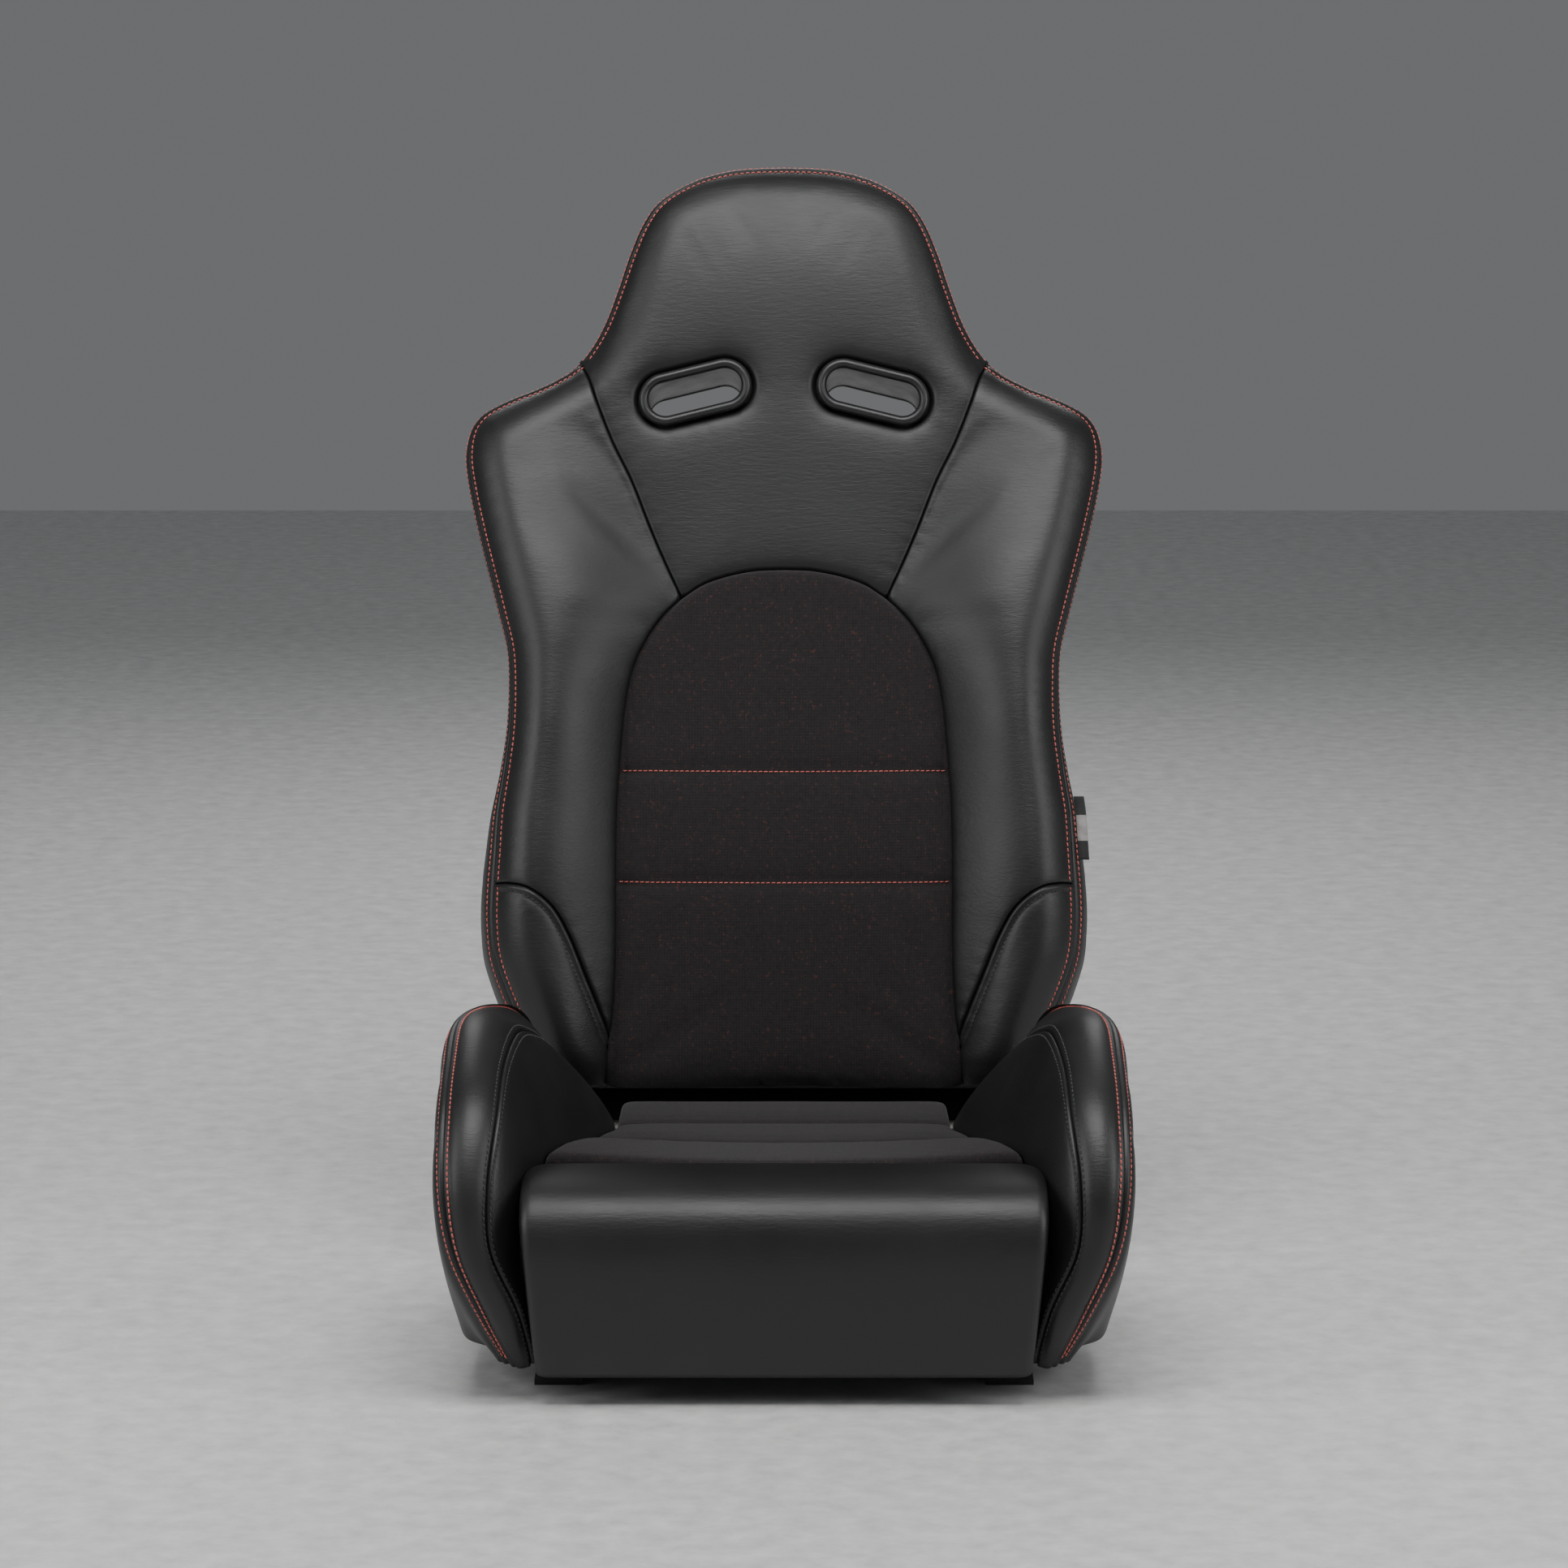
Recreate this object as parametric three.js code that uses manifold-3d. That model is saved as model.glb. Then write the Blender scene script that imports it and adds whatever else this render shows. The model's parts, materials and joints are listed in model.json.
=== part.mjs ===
// Reclining bucket seat, millimetres, +Z up. The seat faces -Y and stands on its two mounting rails.
import * as THREE from 'three';
import { mergeVertices } from 'three/addons/utils/BufferGeometryUtils.js';
import Module from 'manifold-3d';

const wasm = await Module();
wasm.setup();

// ---------- driving dimensions ----------
const GAP = 0.4;                    // clearance between neighbouring pieces
const ORIGIN_Y = 107.574;            // middle of the seat's depth, taken to y = 0
const PIVOT = { y: 215, z: 120 };   // recliner axis
const RECLINE = 16 * Math.PI / 180; // backrest angle from vertical at rest

// Backrest, drawn in its own plane: x across, s up the back, n out of the front.
const COVER = 9;                    // thickness of a padded cover panel
const BOXING = 9;                   // thickness of the side panels
const REAR_COVER = 8;
const FRAME_SPACE = 24;             // room for the tubes between rear panel and foam
const EDGE_ROLL = 38;               // width over which the front rolls down to the perimeter seam
const RIDGE = 0.72;                 // where the wing reaches full height, root to edge

// [s, half-width] of the perimeter seam
const OUTLINE = [[34, 194], [45, 203], [60, 212], [83, 221], [111, 233], [138, 242], [192, 245], [261, 241],
  [296, 236], [331, 232], [375, 231], [401, 233], [435, 241], [470, 250], [506, 259], [542, 267], [570, 271],
  [599, 266], [611, 259], [622, 244], [633, 212], [647, 185], [668, 166], [692, 153], [722, 142], [780, 120],
  [807, 98], [822, 66], [829, 37]];
// [s, n] of the middle of the front, the rear face, and the wing tables on top of it
const CENTRE = [[34, 46], [60, 51], [110, 54], [200, 56], [300, 51], [400, 46], [560, 41], [720, 38], [780, 33],
  [807, 28], [829, 18]];
const REAR = [[34, -46], [200, -50], [400, -48], [600, -42], [700, -38], [829, -30]];
const REAR_HEM = [2, 165];          // the rear cover hangs below the outline to here
const RISE = [[34, 30], [83, 36], [140, 41], [220, 43], [330, 43], [400, 40], [470, 32], [520, 23], [570, 14],
  [611, 5], [647, 0]];
const DROP = [[34, 24], [300, 24], [570, 20], [722, 17], [780, 12], [829, 4]];
const ROOT = [[34, 150], [66, 147], [147, 140], [305, 138], [353, 136], [386, 130], [424, 108], [448, 87],
  [509, 114], [550, 130], [583, 146], [616, 159], [643, 171]];

// Seam curves [x, s] that divide the front
const ARCH = [[0, 473], [37, 470], [66, 462], [87, 448]];
const HEAD_SEAM = [[87, 448], [100, 476], [114, 509], [130, 550], [146, 583], [159, 616], [171, 643],
  [184, 672]];
const INSERT_SIDE = [[87, 448], [108, 424], [117, 411], [130, 386], [136, 353], [138, 305], [141, 264],
  [140, 203], [140, 147], [142, 97], [146, 72]];
const INSERT_FOOT = [[147, 66], [150, 34], [152, 10]];
const HIP_SEAM = [[146, 72], [153, 90], [167, 124], [180, 158], [194, 180], [215, 195], [231, 198], [243, 203],
  [300, 215]];

// Harness slots: two rings of round section and the sleeve between them
const SLOT = {
  x: 76,
  s: 627,
  tilt: 14 * Math.PI / 180,
  straight: 52,
  ringRadius: 18.75,
  tube: 4.25,
  rearTube: 3.4,
  sleeve: 16,
  sleeveWall: 3,
};

// Base bolster: the ridge [y, z] from the front foot to the rear, with the half-widths of its two
// seams, how far the inner seam lies below the outer one, the line where the inner panel meets the
// cushion and the underside of the foam.
const BOLSTER = [
  { y: -215, z: 28, outer: 219, inner: 197, drop: 0, foot: [197, -188, 34], under: [-176, 30] },
  { y: -238, z: 75, outer: 240, inner: 206, drop: 0, foot: [207, -198, 72], under: [-172, 34] },
  { y: -247, z: 125, outer: 260, inner: 227, drop: 0, foot: [207, -203, 112], under: [-164, 36] },
  { y: -240, z: 175, outer: 268, inner: 229, drop: 0, foot: [206, -202, 148], under: [-152, 38] },
  { y: -205, z: 222, outer: 269, inner: 223, drop: 0, foot: [204, -184, 162], under: [-136, 38] },
  { y: -150, z: 252, outer: 268, inner: 220, drop: 2, foot: [192, -142, 164], under: [-110, 38] },
  { y: -85, z: 270, outer: 266, inner: 213, drop: 8, foot: [176, -88, 160], under: [-66, 38] },
  { y: -20, z: 271, outer: 254, inner: 205, drop: 22, foot: [158, -22, 154], under: [-20, 38] },
  { y: 40, z: 261, outer: 234, inner: 197, drop: 32, foot: [143, 36, 150], under: [18, 44] },
  { y: 76, z: 240, outer: 220, inner: 191, drop: 30, foot: [140, 68, 148], under: [44, 58] },
  { y: 96, z: 208, outer: 214, inner: 188, drop: 18, foot: [140, 84, 146], under: [58, 76] },
  { y: 106, z: 168, outer: 212, inner: 188, drop: 8, foot: [140, 92, 142], under: [66, 96] },
];

// Cushion: [y, z] of the leather nose and of the fabric top
const NOSE = [[-146, 170], [-180, 173], [-212, 173], [-238, 167], [-255, 151], [-262, 126], [-260, 90],
  [-252, 52], [-242, 26]];
const TOP = [[-143.5, 170], [-104, 168], [-60, 164], [-20, 160], [30, 156], [90, 153], [150, 152], [166, 149],
  [177, 136], [182, 106]];
const CUSHION_WIDTH = [[-262, 203], [-214, 203], [-184, 202], [-142, 189], [-88, 173], [-22, 155], [36, 140],
  [182, 137]];
const CUSHION_SKIN = 13;

// How far down each side panel of a base bolster its rows of points lie
const LEVELS = [0, 0.35, 0.7, 1];

// Frame: side tubes, cross tubes and wires
const TUBE_WALL = 2;
const WIRE_RADIUS = 2.2;
const CROSS_RADIUS = 10;
const RAIL = { x: 184, z: 62, radius: 12, front: -205, rear: 236 };

// Recliner: where each piece starts along x, from the backrest outward, and the bore for the cross shaft
const STACK = {
  arm: 176.2,
  movingDisc: 181.6,
  fixedDisc: 189,
  plate: 197,
  cover: 202.4,
  spring: 205,
  lever: 231,
};
const BORE = 8;
const SHAFT_RADIUS = 7;
const PLATE_THICK = 5;
const BOLT = { y: -74, z: -62, shank: 4, head: 8 };

// Looks of the pieces
const STEEL = { color: 0x24262a, roughness: 0.45, metalness: 0.8 };
const ZINC = { color: 0x9a9c9e, roughness: 0.35, metalness: 0.9 };
const LEATHER = { color: 0x17171a, roughness: 0.5, metalness: 0 };
const TWEED = { color: 0x1b1a1b, roughness: 0.95, metalness: 0 };
const PLASTIC = { color: 0x101012, roughness: 0.45, metalness: 0 };
const FOAM = { color: 0xb9b19a, roughness: 0.9, metalness: 0 };

// ---------- numbers ----------
function clamp01(v) {
  return Math.min(1, Math.max(0, v));
}

function smooth(v) {
  return v * v * (3 - 2 * v);
}

// Straight-line reading of a [key, value] table whose keys rise.
function read(table, key) {
  const after = table.findIndex(([k]) => key <= k);
  if (after <= 0) {
    return table.at(after)[1];
  }
  const [k0, v0] = table[after - 1];
  const [k1, v1] = table[after];
  return v0 + (v1 - v0) * (key - k0) / (k1 - k0);
}

// Rise of a wing between its root (0) and its ridge (1): it leaves the insert steeply low down and
// eases out of the head panel higher up.
function wingRise(v, s) {
  const low = smooth(clamp01((500 - s) / 120));
  return smooth(v) + 0.7 * low * (v * (2 - v) - smooth(v));
}

function frontDepth(x, s) {
  const across = Math.abs(x);
  const width = read(OUTLINE, s);
  const root = read(ROOT, s);
  const wing = wingRise(clamp01((across - root) / (width - root) / RIDGE), s);
  const edge = clamp01((across - width + EDGE_ROLL) / EDGE_ROLL);
  return read(CENTRE, s) + read(RISE, s) * wing - read(DROP, s) * edge * edge;
}

// ---------- geometry ----------
// Closed body over points, its faces turned to point outward.
function geometry(points, triangles) {
  const outward = volume(points, triangles) > 0;
  const made = new THREE.BufferGeometry();
  made.setAttribute('position', new THREE.Float32BufferAttribute(points.flat(), 3));
  made.setIndex(triangles.flatMap(([a, b, c]) => (outward ? [a, b, c] : [a, c, b])));
  return made;
}

function volume(points, triangles) {
  const corners = points.map((p) => new THREE.Vector3(...p));
  const normal = new THREE.Vector3();
  let sum = 0;
  for (const [a, b, c] of triangles) {
    sum += normal.crossVectors(corners[a], corners[b]).dot(corners[c]) / 6;
  }
  return sum;
}

// Joins equal loops of points into one closed body. Each end is closed by a strip across the loop,
// unless the loops run round and meet. The two halves of a loop get matching diagonals, so the
// faces of neighbouring slabs drawn on one grid stay parallel.
function skin(loops, round = false) {
  const size = loops[0].length;
  const triangles = [];
  const last = round ? loops.length : loops.length - 1;
  for (let k = 0; k < last; k += 1) {
    const here = k * size;
    const next = ((k + 1) % loops.length) * size;
    for (let i = 0; i < size; i += 1) {
      const j = (i + 1) % size;
      const [from, to] = i < size / 2 ? [here + i, next + j] : [here + j, next + i];
      triangles.push([here + i, here + j, to], [from, next + j, next + i]);
    }
  }
  if (!round) {
    triangles.push(...strip(0, size, true), ...strip((loops.length - 1) * size, size, false));
  }
  return geometry(loops.flat(), triangles);
}

function strip(start, size, reversed) {
  const triangles = [];
  for (let i = 0; i < size / 2 - 1; i += 1) {
    const [a, b, c, d] = [i, i + 1, size - 2 - i, size - 1 - i].map((v) => start + v);
    triangles.push([a, b, c], [a, c, d]);
  }
  const whole = triangles.filter((triangle) => new Set(triangle).size === 3);
  return whole.map(([a, b, c]) => (reversed ? [a, c, b] : [a, b, c]));
}

// Slab between two grids of points that have the same rows and columns.
function slab(upper, lower) {
  return skin(upper.map((row, i) => [...row, ...[...lower[i]].reverse()]));
}

// Circles of points along a path, one at each bend. They are all laid out from the axis along which
// the path reaches least, so that no stretch of the path is twisted.
function circles(points, radius, sides) {
  const path = points.map((p) => new THREE.Vector3(...p));
  const reach = new THREE.Box3().setFromPoints(path).getSize(new THREE.Vector3()).toArray();
  const start = new THREE.Vector3().setComponent(reach.indexOf(Math.min(...reach)), 1);
  return path.map((point, i) => {
    const before = path[Math.max(i - 1, 0)];
    const after = path[Math.min(i + 1, path.length - 1)];
    const along = after.clone().sub(before).normalize();
    const side = start.clone().sub(along.clone().multiplyScalar(start.dot(along))).normalize();
    const up = along.clone().cross(side);
    return ring(sides, (angle) => point.clone()
      .addScaledVector(side, radius * Math.cos(angle))
      .addScaledVector(up, radius * Math.sin(angle)).toArray());
  });
}

function bar(points, radius, sides = 12) {
  return skin(circles(points, radius, sides));
}

// Tube with open ends.
function tube(points, radius, wall, sides = 12) {
  const outer = circles(points, radius, sides);
  const bore = circles(points, radius - wall, sides);
  return skin([...outer, ...bore.reverse()], true);
}

function ring(count, place) {
  return Array.from({ length: count }, (_, i) => place(2 * Math.PI * (i + 0.5) / count));
}

// Closed [radius, x] profile turned about the X axis.
function turned(profile, sides = 20) {
  const turn = (angle) => profile.map(([r, x]) => [x, r * Math.cos(angle), r * Math.sin(angle)]);
  return skin(ring(sides, turn), true);
}

// Flat plate: [y, z] outline with round holes, from x to x + thick.
function plate(points, x, thick, holes = []) {
  const shape = new THREE.Shape(points.map((p) => new THREE.Vector2(...p)));
  for (const [y, z, radius] of holes) {
    shape.holes.push(new THREE.Path().absarc(y, z, radius, 0, 2 * Math.PI, true));
  }
  const made = new THREE.ExtrudeGeometry(shape, { depth: thick, bevelEnabled: false, curveSegments: 16 });
  made.applyMatrix4(new THREE.Matrix4().set(0, 0, 1, x, 1, 0, 0, 0, 0, 1, 0, 0, 0, 0, 0, 1));
  return made;
}

function arc(cy, cz, radius, from, to, count) {
  return Array.from({ length: count + 1 }, (_, i) => {
    const angle = (from + (to - from) * i / count) * Math.PI / 180;
    return [cy + radius * Math.cos(angle), cz + radius * Math.sin(angle)];
  });
}

// ---------- solids ----------
function solid(source) {
  const plain = source.clone();
  plain.deleteAttribute('normal');
  plain.deleteAttribute('uv');
  const merged = mergeVertices(plain, 1e-4);
  return new wasm.Manifold(new wasm.Mesh({
    numProp: 3,
    vertProperties: new Float32Array(merged.attributes.position.array),
    triVerts: new Uint32Array(merged.index.array),
  }));
}

function surface(body) {
  const mesh = body.getMesh();
  const made = new THREE.BufferGeometry();
  made.setAttribute('position', new THREE.BufferAttribute(new Float32Array(mesh.vertProperties), 3));
  made.setIndex(new THREE.BufferAttribute(new Uint32Array(mesh.triVerts), 1));
  return made;
}

function cut(body, ...tools) {
  return surface(tools.reduce((left, tool) => left.subtract(solid(tool)), solid(body)));
}

function common(body, tool) {
  return surface(solid(body).intersect(solid(tool)));
}

// Counter-clockwise outline moved inward by a distance.
function inset(points, distance) {
  const edge = (a, b) => {
    const length = Math.hypot(b[0] - a[0], b[1] - a[1]);
    return [-(b[1] - a[1]) / length, (b[0] - a[0]) / length];
  };
  return points.map((p, i) => {
    const before = edge(points[(i + points.length - 1) % points.length], p);
    const after = edge(p, points[(i + 1) % points.length]);
    const scale = distance / (1 + before[0] * after[0] + before[1] * after[1]);
    return [p[0] + (before[0] + after[0]) * scale, p[1] + (before[1] + after[1]) * scale];
  });
}

// Prism over an [x, s] outline, right through the backrest.
function through(points) {
  const shape = new THREE.Shape(points.map((p) => new THREE.Vector2(...p)));
  const made = new THREE.ExtrudeGeometry(shape, { depth: 300, bevelEnabled: false });
  made.applyMatrix4(new THREE.Matrix4().set(1, 0, 0, 0, 0, 0, -1, 150, 0, 1, 0, 0, 0, 0, 0, 1));
  return made;
}

function mirror(points) {
  return points.map(([x, s]) => [-x, s]).reverse();
}

// ---------- node building ----------
const seat = new THREE.Group();
seat.name = 'racing_seat';
const base = group(seat, 'base', 0, 0, 0);
const backrest = group(seat, 'backrest', 0, PIVOT.y, PIVOT.z);
backrest.rotation.x = -RECLINE;
const lever = group(seat, 'lever', 0, PIVOT.y, PIVOT.z);
const pivotSide = group(base, 'pivot_side', 0, PIVOT.y, PIVOT.z);
seat.position.y = -ORIGIN_Y;

function group(parent, name, x, y, z) {
  const made = new THREE.Group();
  made.name = name;
  made.position.set(x, y, z);
  parent.add(made);
  return made;
}

function add(parent, name, shape, look) {
  const mesh = new THREE.Mesh(shape, new THREE.MeshStandardMaterial(look));
  mesh.name = name;
  parent.add(mesh);
  return mesh;
}

// Adds a piece drawn on the +X side and its mirror image.
function pair(parent, name, shape, look) {
  add(parent, `${name}_R`, shape, look);
  const other = shape.index ? shape.clone() : mergeVertices(shape.clone().deleteAttribute('normal'), 1e-4);
  other.applyMatrix4(new THREE.Matrix4().makeScale(-1, 1, 1));
  const order = Array.from(other.index.array);
  for (let i = 0; i < order.length; i += 3) {
    [order[i + 1], order[i + 2]] = [order[i + 2], order[i + 1]];
  }
  other.setIndex(order);
  add(parent, `${name}_L`, other, look);
}

// ---------- backrest ----------
const COLUMNS = [0, 0.3, 0.5, 0.61, 0.71, 0.8, 0.88, 0.94, 1];
const ACROSS = [...COLUMNS.slice(1).map((u) => -u).reverse(), ...COLUMNS];

// Grid over the rows of an outline at a depth given by place(x, s, u).
function sheet(place, columns = ACROSS, rows = OUTLINE) {
  return rows.map(([s, width]) => columns.map((u) => [u * width, -place(u * width, s, u), s]));
}

// Right half of the outline moved inward, bottom corner to top, with its foot kept on the bottom edge.
function innerEdge(distance) {
  const right = OUTLINE.map(([s, width]) => [width, s]);
  const moved = inset([...right, ...mirror(right)], distance).slice(0, right.length);
  return [[moved[0][0], right[0][1]], ...moved.slice(1)];
}

function stadium(length, radius, count = 7) {
  const right = arc(length / 2, 0, radius, -90, 90, count);
  const left = arc(-length / 2, 0, radius, 90, 270, count);
  const [c, s] = [Math.cos(SLOT.tilt), -Math.sin(SLOT.tilt)];
  return [...right, ...left].map(([x, y]) => [SLOT.x + x * c - y * s, SLOT.s + x * s + y * c]);
}

function slotCutters(radius) {
  const right = stadium(SLOT.straight, radius);
  return [through(right), through(mirror(right))];
}

function buildBackCovers() {
  const front = slab(sheet((x, s) => frontDepth(x, s)), sheet((x, s) => frontDepth(x, s) - COVER));
  const seamGap = GAP / 2;
  const head = [...HEAD_SEAM.slice().reverse(), ...ARCH.slice(0, -1).reverse()];
  const headRight = [[184, 900], ...head];
  const headOutline = [...headRight, ...mirror(headRight.slice(0, -1))].reverse();
  const insertRight = [...ARCH, ...INSERT_SIDE.slice(1), ...INSERT_FOOT];
  const insertOutline = [...insertRight, ...mirror(insertRight.slice(1))].reverse();
  const wingSide = INSERT_SIDE.slice(1, -1).reverse();
  const wing = [...HEAD_SEAM, [300, 672], ...HIP_SEAM.slice().reverse(), ...wingSide];
  const hip = [...HIP_SEAM, [300, 10], ...INSERT_FOOT.slice().reverse()];
  const panel = (outline) => common(front, through(inset(outline, seamGap)));
  add(backrest, 'back_insert', panel(insertOutline), TWEED);
  add(backrest, 'head_panel', cut(panel(headOutline), ...slotCutters(SLOT.ringRadius + 6)), LEATHER);
  for (const [name, outline] of [['shoulder_wing', wing.reverse()], ['hip_panel', hip.reverse()]]) {
    add(backrest, `${name}_R`, panel(outline), LEATHER);
    add(backrest, `${name}_L`, panel(mirror(outline)), LEATHER);
  }
}

function buildBackBody() {
  const rearFace = (s, u) => read(REAR, s) - 5 * (1 - u * u);
  const coarse = [-1, -0.5, 0, 0.5, 1];
  const rows = [REAR_HEM, ...OUTLINE];
  const rear = slab(
    sheet((x, s) => read(REAR, s) + REAR_COVER, coarse, rows),
    sheet((x, s, u) => rearFace(s, u), coarse, rows),
  );
  add(backrest, 'rear_panel', cut(rear, ...slotCutters(SLOT.ringRadius + 4)), LEATHER);
  const lowest = REAR_COVER + GAP + FRAME_SPACE;
  const upper = sheet((x, s) => frontDepth(x, s) - COVER - GAP);
  const block = slab(upper, sheet((x, s) => read(REAR, s) + lowest));
  const right = innerEdge(BOXING + GAP);
  right.unshift([right[0][0], 0]);
  const foam = common(block, through([...right, ...mirror(right)]));
  add(backrest, 'back_foam', cut(foam, ...slotCutters(SLOT.ringRadius + 1)), FOAM);
}

// Side boxing from the bottom corner up and over to the middle of the head.
function buildBoxing() {
  const inner = innerEdge(BOXING);
  const depths = [0, 0.3, 0.7, 1];
  const loops = OUTLINE.map(([s, x], i) => {
    const top = frontDepth(x, s) - COVER - GAP;
    const bottom = read(REAR, s) + REAR_COVER + GAP;
    const length = Math.hypot(x - inner[i][0], s - inner[i][1]);
    const out = [(x - inner[i][0]) / length, (s - inner[i][1]) / length];
    const swell = 5 * clamp01((700 - s) / 300);
    const side = (origin, amount) => depths.map((v) => {
      const bulge = amount * Math.sin(Math.PI * v);
      return [origin[0] + out[0] * bulge, -(bottom + (top - bottom) * v), origin[1] + out[1] * bulge];
    });
    return [...side([x, s], swell), ...side(inner[i], 0).reverse()];
  });
  const end = loops[loops.length - 1];
  loops.push(end.map(([x, y, z]) => [GAP / 2, y, Math.abs(z - 829) < 4 ? 829 : 829 - BOXING]));
  pair(backrest, 'side_panel', skin(loops), LEATHER);
}

function tubePath(points) {
  return points.map(([x, s]) => [x, -(read(REAR, s) + REAR_COVER + FRAME_SPACE / 2), s]);
}

function buildBackFrame() {
  const side = [[165, 36], [165, 200], [165, 370], [160, 440], [153, 540], [146, 640], [128, 690], [116, 716]];
  pair(backrest, 'back_tube', tube(tubePath(side), 10.5, TUBE_WALL), STEEL);
  add(backrest, 'back_cross_upper', tube(tubePath([[-104, 712], [104, 712]]), 9, TUBE_WALL), STEEL);
  add(backrest, 'back_cross_lower', tube(tubePath([[-154, 70], [154, 70]]), 9, TUBE_WALL), STEEL);
  const wire = [-152, -110, -66, -22, 22, 66, 110, 152].map((x, i) => [x, 220 + (i % 2 ? 24 : -24)]);
  add(backrest, 'lumbar_wire', bar(tubePath(wire), WIRE_RADIUS, 6), ZINC);
  // outline in [local y, s]: the recliner boss, then the strap up the rear tube
  const boss = [...arc(0, 0, 28, 0, -170, 12), ...arc(0, 0, 28, 180, 115, 5)];
  const arm = [[36, 150], [36, 20], ...boss, [17, 34], [17, 150]].reverse();
  pair(backrest, 'recliner_arm', plate(arm, STACK.arm, PLATE_THICK, [[0, 0, BORE]]), ZINC);
  const x = STACK.movingDisc;
  const disc = [[BORE, x], [29, x], [29, x + 4.4], [26, x + 7], [BORE, x + 7]];
  pair(backrest, 'recliner_moving_disc', turned(disc), ZINC);
}

// Oval ring round a harness slot, with a round section, at depth n.
function hoop(tubeRadius, n) {
  const section = ring(8, (angle) => [tubeRadius * Math.cos(angle), tubeRadius * Math.sin(angle)]);
  const [c, s] = [Math.cos(SLOT.tilt), -Math.sin(SLOT.tilt)];
  const loops = ring(20, (angle) => section.map(([out, up]) => {
    const radius = SLOT.ringRadius + out;
    const x = radius * Math.cos(angle) + Math.sign(Math.cos(angle)) * SLOT.straight / 2;
    const z = radius * Math.sin(angle);
    return [SLOT.x + x * c - z * s, -(n + up), SLOT.s + x * s + z * c];
  }));
  return skin(loops, true);
}

function buildHarnessSlots() {
  const frontN = read(CENTRE, SLOT.s) - 1;
  const rearN = read(REAR, SLOT.s) - 2;
  pair(backrest, 'harness_ring_front', hoop(SLOT.tube, frontN), PLASTIC);
  pair(backrest, 'harness_ring_rear', hoop(SLOT.rearTube, rearN), PLASTIC);
  const inner = stadium(SLOT.straight, SLOT.sleeve);
  const outer = stadium(SLOT.straight, SLOT.sleeve + SLOT.sleeveWall);
  const low = rearN + SLOT.rearTube + GAP;
  const high = frontN - SLOT.tube - GAP;
  const loops = inner.map(([x, s], i) => {
    const [u, v] = outer[i];
    return [[x, -low, s], [u, -low, v], [u, -high, v], [x, -high, s]];
  });
  pair(backrest, 'harness_sleeve', skin(loops, true), PLASTIC);
}

// Plain cloth tab sewn into the side seam at hip height, on the +X side only.
function buildSideTab() {
  const rows = [222, 240, 258, 276].map((s) => {
    const edge = read(OUTLINE, s);
    const n = frontDepth(edge, s) - COVER / 2;
    return [[edge + GAP, -n, s], [edge + 7, -n + 1, s], [edge + 7, -n + 2.2, s], [edge + GAP, -n + 1.2, s]];
  });
  add(backrest, 'side_tab', skin(rows), TWEED);
}

// ---------- base ----------
// Point k of a [y, z] line moved square to the line, to the right of its direction.
function moved(line, k, distance) {
  const [y0, z0] = line[Math.max(k - 1, 0)];
  const [y1, z1] = line[Math.min(k + 1, line.length - 1)];
  const length = Math.hypot(y1 - y0, z1 - z0);
  const [y, z] = line[k];
  return [y + (z1 - z0) / length * distance, z - (y1 - y0) / length * distance];
}

// Ridge station k moved down into the bolster by a distance.
function ridge(k, distance) {
  return moved(BOLSTER.map(({ y, z }) => [y, z]), k, distance);
}

// How far a side panel leans in at its underside.
function tuck(outer) {
  return Math.max(0, (outer - 214) / 3);
}

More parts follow.
